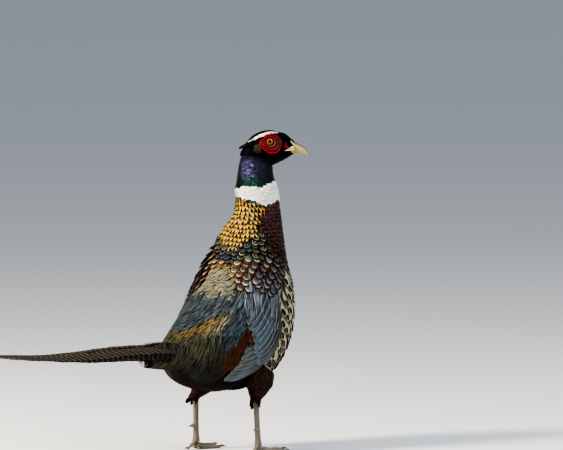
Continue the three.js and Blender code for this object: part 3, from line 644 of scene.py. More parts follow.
# %% [markdown]
# ## Painting a feather
# The pattern of a coat is drawn feather by feather: a spot, an edge or a bar sits at the same place on each one. The
# map called vane holds that place, so one small drawing repeats over thousands of feathers without a texture. The
# ring number r is 0 in the middle of the rounded end and 1 at its rim, so that edges follow the outline. Each feather
# also carries three tones. Most are random and keep neighbours from being alike, and some say where on the body the
# feather grows.

# %% A feather's drawing board
BARB_STEP, RING_BLUR, OPEN = 0.75, 0.05, 2.0


class Vane(Paint):
    """A material with the wires of one feather: u across, v along, r towards the rim, the crown round the tip, fine
    barbs, and the tones."""

    def __init__(self, name, length, half, **fixed):
        super().__init__(name, **{"Roughness": 0.62, "Specular_IOR_Level": 0.18, **fixed})
        x, y = self.uv("vane")
        self.u, self.v = x * 2 - 1, y
        self.side = abs(self.u)
        end = ((y - 1) * (length / half) + 1).most(0)
        self.r = (self.u * self.u + end * end) ** 0.5
        self.crown = end.past(0.05, 0.6)
        self.tone, self.second, self.third = self.parts(self.attribute("tones"))
        self.barb = (y * length + self.side * half).wave(BARB_STEP)
        self.length = length

    def spot(self, centre, wide, tall):
        """1 inside an oval at the place centre along the vane, 0 outside it."""
        ahead = (self.v - centre) / tall
        across = self.u / wide
        return 1 - (across * across + ahead * ahead).past(0.8, 1.1)

    def ring(self, inner, outer):
        """1 between two rings about the rounded end, or from the inner one to the rim where the outer is OPEN."""
        inside = self.r.past(inner - RING_BLUR, inner + RING_BLUR)
        return inside * (1 - self.r.past(outer - RING_BLUR, outer + RING_BLUR))

    def bars(self, length, width, bend):
        """Dark bars across the vane, every length millimetres, bent back towards the edges."""
        return (self.v * self.length + self.side * bend + self.tone * 3.0).wave(length).past(1 - width, 1.1 - width)

    def done(self, colour, depth=0.12, root=0.4, **more):
        """Varies the colour from feather to feather and from barb to barb, paints shade on the root, which lies under
        the row before it, and raises the shaft and the barbs.
        """
        shade = (self.tone * 0.3 + 0.85) * (self.barb * 0.16 + 0.92)
        # painted shade: towards its root the feather keeps only the share root of its colour, as under the row before
        # it
        shade = shade * (self.v.past(0.25, 0.85) * (1 - root) + root)
        shaft = 1 - self.side.past(0.03, 0.12)
        return self.finish(self.shade(colour, shade), height=self.barb * 0.5 + shaft, depth=depth, **more)


def paint_gloss():
    """Blue-black neck feathers with a painted sheen towards the end of each: teal low on the neck, violet in the
    middle, green-black on the head. The second tone says how strong the painted sheen is.
    """
    p = Vane("gloss", 7.5, 1.9, Roughness=0.33, Specular_IOR_Level=0.25)
    # painted sheen: its colour is set by the height on the neck, and it shows towards the rim as strongly as the
    # second tone
    sheen_colour = p.mix(p.third.past(0.3, 0.5), "teal", "violet")
    sheen_colour = p.mix(p.third.past(0.75, 0.95), sheen_colour, "night")
    painted_sheen = p.mix(p.r.past(0.25, 0.95) * p.second, "night", sheen_colour)
    return p.done(painted_sheen, metal=p.r.past(0.2, 0.8) * (p.second * 0.3 + 0.35))


def paint_ring():
    """White, a little greyer along the sides of each feather."""
    p = Vane("ring_white", 8, 2.3, Roughness=0.8)
    return p.done(p.mix(p.side.past(0.5, 1.0) * 0.3, "white", "pale"), depth=0.2)


def paint_collar():
    """The line under the ring: green-black, with a few orange tips."""
    p = Vane("collar_dark", 8, 2.2, Roughness=0.4)
    ground = p.mix(p.second.past(0.3, 0.8), "black", "teal")
    return p.done(p.mix(p.tone.past(0.78, 0.82) * p.r.past(0.1, 0.3), ground, "orange"))


def paint_mantle():
    """Gold with a cream heart, a black drop at the tip and rusty sides."""
    p = Vane("mantle_gold", 13, 3.7)
    ground = p.mix(p.side.past(0.05, 0.5), p.mix(p.tone * 0.9, "cream", "gold"), "gold")
    ground = p.mix(p.side.past(0.7, 1.0) * (p.second * 0.7 + 0.2), ground, "rust")
    drop = p.spot(0.86, 0.6, 0.18).most(p.spot(0.7, 0.3, 0.17))
    # strong painted shade at the roots
    return p.done(p.mix(drop, ground, "black"), root=0.2)


def paint_copper():
    """Dark copper with a purple bloom and a black edge round the tip."""
    p = Vane("breast_copper", 14, 3.5, Roughness=0.45, Specular_IOR_Level=0.3)
    ground = p.mix(p.second, "copper", "plum")
    ground = p.mix(p.spot(0.8, 0.5, 0.16) * p.tone * 0.45, ground, "rust")
    return p.done(p.mix(p.ring(0.6, OPEN).most(1 - p.v.past(0.55, 0.7)), ground, "black"))


def paint_band():
    """Dark slate near the back, grey-green at the side, with two black arcs, one inside the other."""
    p = Vane("band_moss", 16, 6.0)
    side = p.mix(p.tone * 0.5, "moss", "grey")
    ground = p.mix(p.third.past(0.1, 0.45), p.mix(p.tone * 0.7, "slate", "moss"), side)
    ground = p.mix(p.second.past(0.75, 0.95) * 0.5, ground, "buff")
    arcs = p.ring(0.64, OPEN).most(p.ring(0.16, 0.4))
    return p.done(p.mix(arcs, ground, "black"))


def paint_shoulder():
    """A freckled grey heart, a cream arc that turns blue-grey down the side as painted shade, a black arc and a broad
    chestnut edge.
    """
    p = Vane("shoulder_scales", 22, 7.4)
    heart = p.mix(p.noise(1.8).past(0.42, 0.58), "umber", "ash")
    heart = p.mix(p.second * 0.35, heart, "mist")
    # painted shade: the cream arc turns blue-grey further round from the back, on the side away from the light
    arc = p.mix(p.third.past(0.35, 0.75), "cream", "mist")
    colour = p.mix(p.r.past(0.18, 0.42) * (p.second * 0.5 + 0.35) * p.crown, heart, arc)
    colour = p.mix(p.r.past(0.56, 0.61), colour, "black")
    edge = p.mix(p.third.past(0.1, 0.28) * 0.5 + 0.5, "gold", "rust")
    edge = p.mix(p.third.past(0.3, 0.6), edge, "copper")
    return p.done(p.mix(p.r.past(0.78, 0.85), colour, p.mix(p.second * 0.8, edge, "umber")))


def paint_flank():
    """Straw buff with one large black oval near the tip."""
    p = Vane("flank_spots", 27, 9.8)
    ground = p.mix(p.tone * 0.5, "sand", "buff")
    # only light painted shade at the roots
    return p.done(p.mix(p.spot(0.8, 0.58, 0.17), ground, "black"), depth=0.05, root=0.8)


def paint_saddle():
    """Straw and grey crossed by wavy dark bars."""
    p = Vane("saddle_bars", 20, 3.2)
    ground = p.mix(p.second.past(0.2, 0.8), "buff", "grey")
    ground = p.mix(p.third.past(0.6, 0.9) * 0.5, ground, "sand")
    return p.done(p.mix(p.bars(2.9, 0.55, 2.5), ground, p.mix(p.third * 0.6, "umber", "slate")))


def paint_slate():
    """Slate blue with some grey-green, darker along the middle of each strand, and painted shade in clumps."""
    p = Vane("rump_slate", 26, 1.8, Roughness=0.5)
    ground = p.mix(p.tone * 0.6, "slate", "mist")
    ground = p.mix(p.second.past(0.7, 0.95) * 0.5, ground, "moss")
    # darker along the middle of each strand, and painted shade in the clumps of the third tone
    dusk = (1 - p.side.past(0.1, 0.5)) * 0.5
    return p.done(p.mix(dusk.most((1 - p.third.past(0.2, 0.6)) * 0.75), ground, "night"))


def paint_strands(name, first, second, third, dark, low, high):
    """A loose plume: three colours from the back down the side, with painted shade at the roots and in clumps."""
    p = Vane(name, 36, 1.2)
    down = p.third + p.second * 0.16 - 0.08
    ground = p.mix(down.past(0.4, 0.62), first, second)
    ground = p.mix(down.past(0.85, 1.05), ground, third)
    # painted shade at the roots and in the dark clumps that the first tone gives
    dusk = (1 - p.v.past(0.3, 0.8)).most(1 - p.tone.past(low, high))
    return p.done(p.mix(dusk * 0.9, ground, dark), depth=0.05)


def paint_dark(name, first, second):
    """A dark ground with an edge of a second colour."""
    p = Vane(name, 18, 4.5)
    return p.done(p.mix(p.r.past(0.6, 1.0) * p.tone * 0.6, first, second))


def paint_covert():
    """Blue-grey wing covert with a pale shaft line and, on a quarter of them, a maroon side."""
    p = Vane("wing_covert", 38, 1.7)
    ground = p.mix(p.tone * 0.7, "slate", "mist")
    ground = p.mix((1 - p.side.past(0.1, 0.35)) * p.third.past(0.6, 0.8) * 0.8, ground, "pale")
    ground = p.mix(p.side.past(0.7, 1.0) * 0.6, ground, "night")
    streak = p.u.past(-0.5, -0.2) * p.second.past(0.74, 0.78)
    return p.done(p.mix(streak, ground, "maroon"))


def paint_quill(name, length, half, ground, edge, streak):
    """A long wing feather: a vane with soft bars and a thin pale edge, on most with a streak along it."""
    p = Vane(name, length, half, Roughness=0.55)
    colour = p.mix(p.bars(9.0, 0.5, 4.0) * 0.25, ground, "moss")
    inside = p.side.past(0.45, 0.55) * (1 - p.side.past(0.74, 0.82)) * p.second.past(0.3, 0.4)
    colour = p.mix(inside * 0.8, colour, streak)
    colour = p.mix(p.side.past(0.86, 0.95).most(p.r.past(0.9, 0.98)), colour, edge)
    colour = p.mix(1 - p.side.past(0.02, 0.06), colour, "mist")
    return p.done(colour, depth=0.15)


# %% [markdown]
# ## The coat of the body
# Every tract is one piece. Its feathers have a spacing, a length and a width measured on the photograph, and a lie:
# how strongly they are pulled to the ground. On the shoulders the coat also climbs over the folded wing. A feather
# belongs to the tract in which its visible end lies, and the borders come out ragged as on the bird.

# %% Depth of the coat and the rise over the wing
COAT_DEPTH = ([-0.5, 0.5, 2, 7.5, 9, 12, 15], [2.5, 3, 4.2, 4.2, 3, 2.2, 1.6])
WING_STATION, WING_ANGLE, WING_REACH, WING_SPREAD, WING_RISE = 4.9, 70, 1.9, 46, 5.2


def coat_depth(t):
    """How deep the skin lies under the outline: thick on the trunk, thin towards the head."""
    return np.interp(t, *COAT_DEPTH)


def wing_rise(t, angle):
    """A low dome over the folded wing: its rise times the square root of one less the squared distance."""
    along, aside = (t - WING_STATION) / WING_REACH, (degrees_from_back(angle) - WING_ANGLE) / WING_SPREAD
    return WING_RISE * np.sqrt(np.clip(1 - (along**2 + aside**2), 0, 1))


print("the skin lies", min(COAT_DEPTH[1]), "to", max(COAT_DEPTH[1]), "mm under the outline")

# %% The tracts, their feathers and their paints
STRAND = dict(root=0.5, full=0.3, taper=0.4, tip=0.12, round=0.1, arch=0.25, thick=0.2)
SPOON = dict(root=0.35, full=0.5, taper=0.8, tip=0.62, round=0.75, arch=0.1, thick=0.1)
SCALE = dict(root=0.4, full=0.5, taper=0.8, tip=0.66, round=0.72, arch=0.07, thick=0.1)
# For each tract: the station where its rows start and end, the spacing of its roots along and across, the length of a
# feather, half its width, the height of its tip, the pull downward, its cells, its shape, its slot and its paint
COAT = {
    "gloss": (14.95, 11.4, 2.3, 2.2, 7.5, 1.9, 0.5, 0.0, SMALL, SPOON, "glossy_neck", paint_gloss()),
    "ring": (13.0, 10.2, 2.6, 2.6, 9, 2.3, 1.5, 0.05, SMALL, SPOON, "white_ring", paint_ring()),
    "collar": (12.0, 9.8, 2.6, 2.8, 8, 2.2, 0.7, 0.0, SMALL, SPOON, "mantle_plumage", paint_collar()),
    "mantle": (12.2, 5.0, 5.8, 5.4, 13, 3.7, 0.6, 0.0, MIDDLE, SPOON, "mantle_plumage", paint_mantle()),
    "copper": (12.4, 5.0, 4.8, 4.8, 14, 3.5, 0.5, 0.0, MIDDLE, SPOON, "body_plumage", paint_copper()),
    "band": (8.8, 4.2, 6.0, 8.6, 16, 6.0, 0.7, 0.08, BROAD, SCALE, "body_plumage", paint_band()),
    "shoulder": (7.8, 3.0, 8.4, 10.8, 22, 7.4, 1.5, 0.15, BROAD, SCALE, "body_plumage", paint_shoulder()),
    "flank": (8.2, 3.0, 12.6, 13.6, 27, 9.8, 0.3, 0.05, BROAD, SCALE, "body_plumage", paint_flank()),
    "saddle": (5.4, 2.6, 4.2, 4.2, 20, 3.2, 1.4, 0.05, MIDDLE, SPOON, "body_plumage", paint_saddle()),
    "chestnut": (4.4, 1.2, 3.0, 1.0, 30, 0.75, 1.8, 0.6, SMALL, STRAND, "body_plumage",
                 paint_strands("rump_chestnut", "chestnut", "chestnut", "umber", "umber", -0.1, 0.5)),
    "slate": (4.6, 0.8, 3.2, 1.2, 26, 0.95, 1.8, 0.3, SMALL, STRAND, "body_plumage", paint_slate()),
    "straw": (3.9, -0.6, 3.0, 1.1, 26, 0.8, 1.1, 0.35, SMALL, STRAND, "body_plumage",
              paint_strands("rump_straw", "honey", "sand", "straw", "umber", 0.2, 0.6)),
    "vent": (3.8, -0.9, 4.4, 1.6, 40, 1.1, 2.4, 0.5, SMALL, STRAND, "body_plumage",
             paint_strands("vent_umber", "chestnut", "mauve", "umber", "umber", 0.2, 0.7)),
    "olive": (3.2, -1.6, 3.4, 1.0, 40, 0.7, 2.8, 0.7, SMALL, STRAND, "body_plumage",
              paint_strands("rump_olive", "moss", "olive", "umber", "night", 0.15, 0.8)),
    "belly": (7.0, 1.0, 6.4, 6.4, 18, 4.5, 0.5, 0.1, SMALL, SPOON, "body_plumage",
              paint_dark("belly_umber", "umber", "plum")),
}

print(len(COAT), "tracts")

# %% Place on the flat map, widths and tones of a tract's feathers
BAKE_BORDER = 0.03
TRUNK_RADIUS, STATION_LENGTH = 55, 22


def bake_at_roots(kind, s, angle, low=-2.0, high=15.0, size=BAKE_PATCH):
    """Patches on an unwrap of the surface from low to high, kept off its border."""
    inner = 1 - 2 * BAKE_BORDER
    along = BAKE_BORDER + inner * (s - low) / (high - low)
    return bake_patch(kind, along, BAKE_BORDER + inner * ((angle / (2 * math.pi) + 0.5) % 1), size)


def vanes_over(kind, spots, outs, height, half, shape, spread=(0.85, 1.15)):
    """Vanes on spines that stand at a height over the surface, each a little narrower or wider than half."""
    widths = half * draw.uniform(*spread, len(spots))
    return feather_points(kind, spots + outs * height[..., None], outs, widths, shape)


def clumps(s, angle, size, stretch=4.0):
    """Soft patches from 0 to 1, size millimetres wide and longer along the body: a sum of seeded waves."""
    x, y = angle * TRUNK_RADIUS / size, s * STATION_LENGTH / size / stretch
    waves = sum(np.sin(a * x + b * y + c) for a, b, c in draw.uniform((1, -4, 0), (5, 4, 6.3), (7, 3)))
    return np.clip(0.5 + waves / 4, 0, 1)


def coat_tones(name, s, angle):
    """The tones of a tract's feathers: random, but for those by which its paint knows the place of a feather, the
    strength of the painted sheen on the neck and the clumps of painted shade on the rump.
    """
    tones = draw.random((len(s), 3))
    a = degrees_from_back(angle)
    if name == "gloss":
        # painted sheen on the neck: strongest in clumps on a band that runs from 78 degrees from the back low on the
        # neck to 58 higher up, faint elsewhere
        middle = np.interp(s, [12.2, 12.8, 13.8], [78, 74, 58])
        sheen_band = np.exp(-(((a - middle) / 24) ** 2))
        tones[:, 1] = np.clip(tones[:, 1] ** 0.5 * 1.8 * (0.05 + sheen_band * clumps(s, angle, 2.6, 1.6) ** 1.5), 0, 1)
        tones[:, 2] = (s - 12.2) / 3
    if name in ("straw", "olive", "chestnut", "vent"):
        # on the loose plumes the first tone gives the clumps of painted shade, and the third the place down the side
        tones[:, 0] = clumps(s, angle, 2.4)
        tones[:, 2] = a / (75 if name == "straw" else 110)
    if name == "slate":
        # on the slate the third tone gives the clumps of painted shade
        tones[:, 2] = clumps(s, angle, 4.0)
    # the third tone is the angle from the back, with some scatter: the band's ground and the shoulders' edge change
    # with it, and so does the painted shade on the shoulders' cream arc
    if name in ("band", "shoulder"):
        tones[:, 2] = np.clip(a / 80 + draw.normal(0, 0.1, len(s)), 0, 1)
    return tones


# %% Growing the coat
# How far a feather may stand past the border of its tract, in stations
RAGGED_BORDERS = {"saddle": 0.12, "slate": 0.2, "straw": 0.2, "olive": 0.2, "chestnut": 0.1}


def grow(name, front, back, along, across, length, half, tip, pull, kind, shape, slot, material):
    """One tract of the trunk, from its rows of roots to a piece. A spine rises from under the skin to the height of
    the tip, on top of the dome over the wing, which a feather climbs as it goes."""
    s, angle = brick_rows(trunk, front, back, along, across)
    lengths = length * draw.uniform(0.88, 1.1, len(s))
    swing = draw.normal(0, 0.06, len(s))
    spots, outs, reached = walk(trunk, s, angle, lengths, kind["places"], pull, swing)
    end_s, end_angle = reached[-2]
    ragged = draw.normal(0, RAGGED_BORDERS.get(name, 0), len(s))
    mine = tract_at(end_s + ragged, end_angle) == TRACTS.index(name)
    if name == "gloss":
        mine &= ~inside_skull(spots[:, -1])
    v = kind["places"]
    deep = -coat_depth(s)[:, None] - 0.3
    rise = np.stack([wing_rise(*place) for place in reached], 1) * (0.3 + 0.7 * v)
    if name == "shoulder":
        over = np.clip(wing_rise(s, angle) / WING_RISE, 0, 1)[:, None]
        deep, rise = deep * (1 - 0.6 * over), rise * (1 + 0.5 * over * (1 - v))
    height = deep + (tip + draw.normal(0, 0.12, len(s))[:, None] - deep) * v + rise
    points = vanes_over(kind, spots, outs, height, half, shape, (0.92, 1.1))
    tones, patches = coat_tones(name, s, angle), bake_at_roots(kind, s, angle)
    return plumage("coat_" + name, kind, points[mine], tones[mine], patches[mine], slot, material)


for name, row in COAT.items():
    grow(name, *row)

# %% [markdown]
# ## The folded wings
# A folded wing is a stack: the long primaries lie lowest, the broad secondaries and tertials over them, and small
# blue-grey coverts on top. Each long feather is drawn as a straight line on the map of the body, from its root to its
# tip, at its own height. Its vane is tilted like a roof tile, so that the lower edge covers the next feather below.
# The right wing is mirrored to make the left one, as the body is alike on both sides there.

# %% Long wing feathers
# roots and tips as station and degrees, on three places from the lowest feather to the highest
PRIMARIES = dict(roots=[(4.15, 107), (4.3, 97), (4.5, 84)], tips=[(2.15, 133), (2.45, 116), (3.15, 86)],
                 count=10, half=8.0, height=1.9)
TERTIALS = dict(roots=[(4.62, 98), (5.2, 75), (5.45, 48)], tips=[(3.55, 114), (3.4, 97), (3.3, 68)],
                count=10, half=8.2, height=3.6)
TILE_TILT = math.asin(0.17)
QUILL = dict(root=0.5, full=0.3, taper=0.7, tip=0.5, round=0.9, arch=0.1, thick=0.28)


def bowed(places, share):
    """A curve through three places: the bow whose middle passes through the second."""
    first, middle, last = np.array(places, float)
    pull = 2 * middle - (first + last) / 2
    share = share[:, None]
    return (1 - share) ** 2 * first + 2 * share * (1 - share) * pull + share**2 * last


def tier(roots, tips, count, half, height):
    """A row of long feathers on the right side: the points of their vanes, and each root's place. The spine rises to
    its height over the body in the first third, and the vane is tilted about it."""
    share = np.linspace(0, 1, count)
    root, tip = bowed(roots, share), bowed(tips, share) + draw.normal(0, 0.03, (count, 2)) * (1, 12)
    v = LARGE["places"]
    t = root[:, :1] + (tip[:, :1] - root[:, :1]) * v
    angle = np.radians(root[:, 1:] + (tip[:, 1:] - root[:, 1:]) * v)
    point, _, _, out = measure(trunk, t, angle)
    spine = point + out * (height * (0.6 + 0.4 * np.minimum(1, 3 * v)))[..., None]
    across = unit(np.cross(unit(np.gradient(spine, axis=1)), out))
    tilted = unit(out * math.cos(TILE_TILT) + across * math.sin(TILE_TILT) * np.sign(across[..., 2:]))
    return feather_points(LARGE, spine, tilted, np.full(count, half), QUILL), t[:, 0], angle[:, 0]


def both_wings(name, points, s, angle, material, stands_for=None):
    """The same feathers on the right and, mirrored, on the left."""
    tones = draw.random((len(points), 3))
    for hand, side in SIDES.items():
        kind = {**LARGE, "cells": LARGE["cells"][:, ::side]}
        patches = bake_at_roots(kind, s, side * angle, size=BAKE_LONG_PATCH)
        plumage(f"{name}_{hand}", kind, points * (1, side, 1), tones, patches, "wing_plumage", material,
                [f"{stands_for}_{hand}"] if stands_for else ())


both_wings("primaries", *tier(**PRIMARIES), paint_quill("wing_primary", 90, 8, "ash", "mist", "slate"), "wing")
both_wings("tertials", *tier(**TERTIALS), paint_quill("wing_tertial", 75, 8.2, "slate", "mist", "maroon"))

# %% [markdown]
# ## The coverts
# Small feathers lie over the roots of the long ones and close the wing. They could be drawn line by line as the long
# ones are, but they are many and alike, so they grow in rows as the coat does and lie on the dome over the wing.

# %% Coverts of the wing
COVERTS_BACK = [(40, 3.9), (48, 3.4), (60, 3.3), (70, 3.25), (80, 3.4), (92, 3.35), (100, 3.6), (110, 4.0), (118, 4.4)]
COVERT_ROWS, COVERT_LENGTH, COVERT_HALF, COVERT_PULL = (6.6, 2.6, 6.0, 2.8), 38, 1.7, 0.75


def grow_coverts():
    """Small coverts over both wings, from rows of roots on the trunk that the wing's outline cuts off."""
    s, angle = brick_rows(trunk, *COVERT_ROWS)
    lengths = COVERT_LENGTH * draw.uniform(0.85, 1.15, len(s))
    v = MIDDLE["places"]
    spots, outs, reached = walk(trunk, s, angle, lengths, v, COVERT_PULL, draw.normal(0, 0.07, len(s)))
    t_end, angle_end = reached[-2]
    a = degrees_from_back(angle_end)
    mine = (t_end < border(WING_FRONT, a + 5)) & (t_end > border(COVERTS_BACK, a)) & (a > 44) & (a < 118)
    rise = np.stack([wing_rise(*place) for place in reached], 1)
    height = rise * 0.85 - 1.6 + 2.2 * v + draw.normal(0, 0.12, len(s))[:, None]
    points = vanes_over(MIDDLE, spots, outs, height, COVERT_HALF, STRAND)
    patches = bake_at_roots(MIDDLE, s, angle)
    return plumage("wing_coverts", MIDDLE, points[mine], draw.random((mine.sum(), 3)), patches[mine],
                   "wing_plumage", paint_covert())


grow_coverts()

# %% [markdown]
# ## The tail
# Eighteen long, pointed feathers lie in a narrow fan, the middle pair on top and longest. Each is a closed vane on a
# grid, like a body feather but with many more rows, because its edges are frayed and it follows the gentle wave of
# the tail. The dark bars are painted across the vane at a fixed distance from each other.

# %% Tail feathers
TAIL_LINE = np.array([[80, 136], [113, 139.5], [170, 144.5], [236, 146.5], [306, 146], [376, 147.5], [447, 153],
                      [485, 156.5]])
TAIL_ROOT_X, TAIL_STEP_DOWN, TAIL_FAN, TAIL_OPENS = -97, 1.3, math.radians(0.75), 45
# length, half width and roll in degrees, from the middle pair outward
TAIL_PAIRS = [(388, 14.5, 15), (345, 13.5, 19), (292, 13, 23), (246, 12.5, 27), (205, 12, 30), (168, 11, 33),
              (134, 10, 36), (102, 9.5, 39), (76, 9, 42)]
TAIL_LENGTH, TAIL_HALF, TAIL_BAR_STEP = 388, 14, 10.5
TAIL_CELLS = feather_cells(8, np.linspace(0, 1, 61))
FRAY, CURL = 0.16, 0.12


def tail_feather(pair, side):
    """One tail feather: its spine runs back along the tail's line, lower and further aside for each pair. Its width
    grows at the root, holds and then falls to the tip, and its edges are frayed at random."""
    length, half, roll = TAIL_PAIRS[pair]
    tilt = math.radians(roll) * side
    v, u = TAIL_CELLS["v"], TAIL_CELLS["u"]
    edge = np.abs(u) == 1
    x = TAIL_ROOT_X - length * v
    spread = 0.2 + 0.8 * np.clip(length * v / TAIL_OPENS, 0, 1)
    aside = (math.cos(tilt) * half * (0.9 if pair else 0.45)) * spread + math.tan(TAIL_FAN * pair) * length * v
    down = 1.2 + TAIL_STEP_DOWN * pair + abs(math.sin(tilt)) * half * spread + 0.7 * (side > 0)
    start = 0.25 if pair < 3 else 0.45
    width = half * spread * np.sqrt(np.clip(1 - np.maximum(0, (v - start) / (1 - start)) ** 1.8, 0.03, 1))
    frayed = 1 - FRAY * draw.random(len(v)) * edge
    across, out = np.array([0, math.cos(tilt), -math.sin(tilt)]), np.array([0, math.sin(tilt), math.cos(tilt)])
    lift = TAIL_CELLS["face"] * 0.4 * (1 - u**2) - CURL * width * u**2 + draw.normal(0, 0.12, len(v)) * edge
    z = through(TAIL_LINE, -x)[:, 0] - down
    return points_of(x, side * aside, z) + across * (u * width * frayed)[:, None] + out * lift[:, None]


def paint_tail():
    """Olive brown with mauve edges, crossed by narrow black bars with a buff line behind each."""
    p = Vane("tail_bars", TAIL_LENGTH, TAIL_HALF, Roughness=0.6)
    along = p.v * p.third * TAIL_LENGTH
    rim = p.side.past(0.45, 0.95)
    ground = p.mix(rim, "tail", "mauve")
    ground = p.mix(p.noise(7) * 0.4, ground, "umber")
    sweep = along + p.side * 7 + p.noise(5) * 2.5
    ground = p.mix((sweep + 2.2).wave(TAIL_BAR_STEP).past(0.75, 0.88) * 0.4, ground, "buff")
    bars = sweep.wave(TAIL_BAR_STEP).past(0.6, 0.76) * (1 - rim * 0.25)
    shaft = 1 - p.side.past(0.02, 0.07)
    colour = p.shade(p.mix(bars, ground, "black"), p.barb * 0.14 + 0.9)
    return p.finish(colour, height=p.barb * 0.4 + shaft, depth=0.2)


def make_tail():
    """All pairs from the outermost in. The third tone is a feather's share of the longest one's length, so that the
    bars are equally far apart on all, and each feather has a strip of its own on the flat map."""
    points, tones, patches = [], [], []
    for pair in range(len(TAIL_PAIRS) - 1, -1, -1):
        for side in (1, -1):
            points.append(tail_feather(pair, side))
            tones.append([draw.random(), draw.random(), TAIL_PAIRS[pair][0] / TAIL_LENGTH])
            strip = len(points) / (2 * len(TAIL_PAIRS) + 1)
            along = BAKE_BORDER + (1 - 2 * BAKE_BORDER) * TAIL_CELLS["v"]
            patches.append(np.stack([strip + TAIL_CELLS["u"] * BAKE_LONG_PATCH, along], -1))
    return plumage("tail_feathers", TAIL_CELLS, np.array(points), np.array(tones), np.array(patches),
                   "tail_plumage", paint_tail(), stands_for=("tail",))


make_tail()

# %% [markdown]
# ## The head's surface
# The skull is another surface of two parameters: p along the head and an angle round it. Its rows are those of the
# solid head. Feathers on the face are tiny, and their colour depends on where they grow: black with a green gloss, a
# cream stripe from over the eye to the nape, and a brown patch over the ear.

# %% Markings of the head
# p, middle z and half width of the cream stripe over the eye
STRIPE = np.array([[-10, 375.8, 0.5], [-5, 378.5, 1.0], [0, 380.9, 1.5], [5, 383.6, 1.8], [10, 385.5, 1.5],
                   [15, 387.2, 1.0], [20, 387.8, 0.8], [24, 387.6, 0.7], [27, 387.0, 0.4]])
EAR_P, EAR_Z, EAR_LONG, EAR_TALL = 2.3, 368.0, 5.0, 6.0


def plain(name):
    """A colour of the palette as three numbers."""
    return np.array(INK[name][:3])


def head_colour(points):
    """The colour of the coat at points of the head, as plain numbers: black, brown in an oval over the ear, and white
    or grey between the two edges of the stripe."""
    p, l, z = to_head(points)
    colour = np.tile(plain("night") * 0.8, (*p.shape, 1))
    middle, half = columns(STRIPE, p)
    ear = ((p - EAR_P) / EAR_LONG) ** 2 + ((z - EAR_Z) / EAR_TALL) ** 2 < 1
    low = np.clip((EAR_Z - z) / 8 + 0.3, 0, 1)[..., None]
    brown = (plain("chestnut") * low + plain("moss") * (1 - low)) * 0.4
    colour = np.where((ear & (np.abs(l) > 6))[..., None], brown, colour)
    stripe = (np.abs(z - middle) < half) & (p > -10) & (p < 27) & (np.abs(l) > 3)
    pale = np.where((p > -3)[..., None], plain("white"), plain("mist"))
    return np.where(stripe[..., None], pale, colour)


def neck_middle(t):
    """The middle of the trunk's section at each station."""
    return (trunk(t, 0 * t) + trunk(t, 0 * t + math.pi)) / 2


def inside_neck(points):
    """True where a point lies in the neck: inside the section of the trunk at its own height."""
    stations = np.linspace(12.6, 14.9, 60)
    t = np.interp(points[..., 2], neck_middle(stations)[:, 2], stations)
    middle = neck_middle(t)
    back_half = np.linalg.norm((trunk(t, 0 * t) - middle)[..., :2], axis=-1)
    side_half = through(TRUNK, t)[..., 4]
    away = np.linalg.norm((points - middle)[..., :2], axis=-1)
    return (away < np.minimum(back_half, side_half) - 1.5) & (points[..., 2] < 357)


# Reach of the red face skin round the eye, at even steps from forward, upward, back and down
WATTLE_REACH = [14.8, 13.2, 11.2, 10.1, 9.6, 9.6, 9.5, 10.2, 14.4, 12.4, 12.3, 13, 14, 15.4, 15.2, 14.6]


def reach_at(turn):
    """How far the red skin reaches from the eye at an angle, between the measured reaches."""
    steps = np.arange(len(WATTLE_REACH) + 1) * 2 * math.pi / len(WATTLE_REACH)
    return np.interp(turn, steps, WATTLE_REACH + WATTLE_REACH[:1])


def near_eye(points, share):
    """True where the bare face skin covers the head, up to a share of its reach."""
    p, _, z = to_head(points)
    turn = np.arctan2(z - EYE_Z, p - EYE_P) % (2 * math.pi)
    return np.hypot(p - EYE_P, z - EYE_Z) < reach_at(turn) * share


# Where the skull's coat ends at the bill
BILL_ROOT = 41.5
print("reach of the face skin forward and back, mm:", reach_at(np.array([0, math.pi])).tolist())

# %% Feathers of the face
# where their rows start and end on the skull, and the spacing of their roots along and across
FACE_ROWS = (48.8, -16, 1.35, 1.4)
FACE = dict(root=0.5, full=0.5, taper=0.75, tip=0.55, round=0.6, arch=0.25, thick=0.12)


def paint_by_place(name, roughness, metal):
    """Feathers whose ground colour is stored with them. The black ones are partly metallic, so that the sky's
    reflection on them stays blue-black."""
    p = Vane(name, 4.5, 1.1, Roughness=roughness, Specular_IOR_Level=0.08)
    ground = p.attribute("tint")
    dark = 1 - p.parts(ground)[0].past(0.01, 0.03)
    return p.done(ground, depth=0.06, metal=dark * metal)


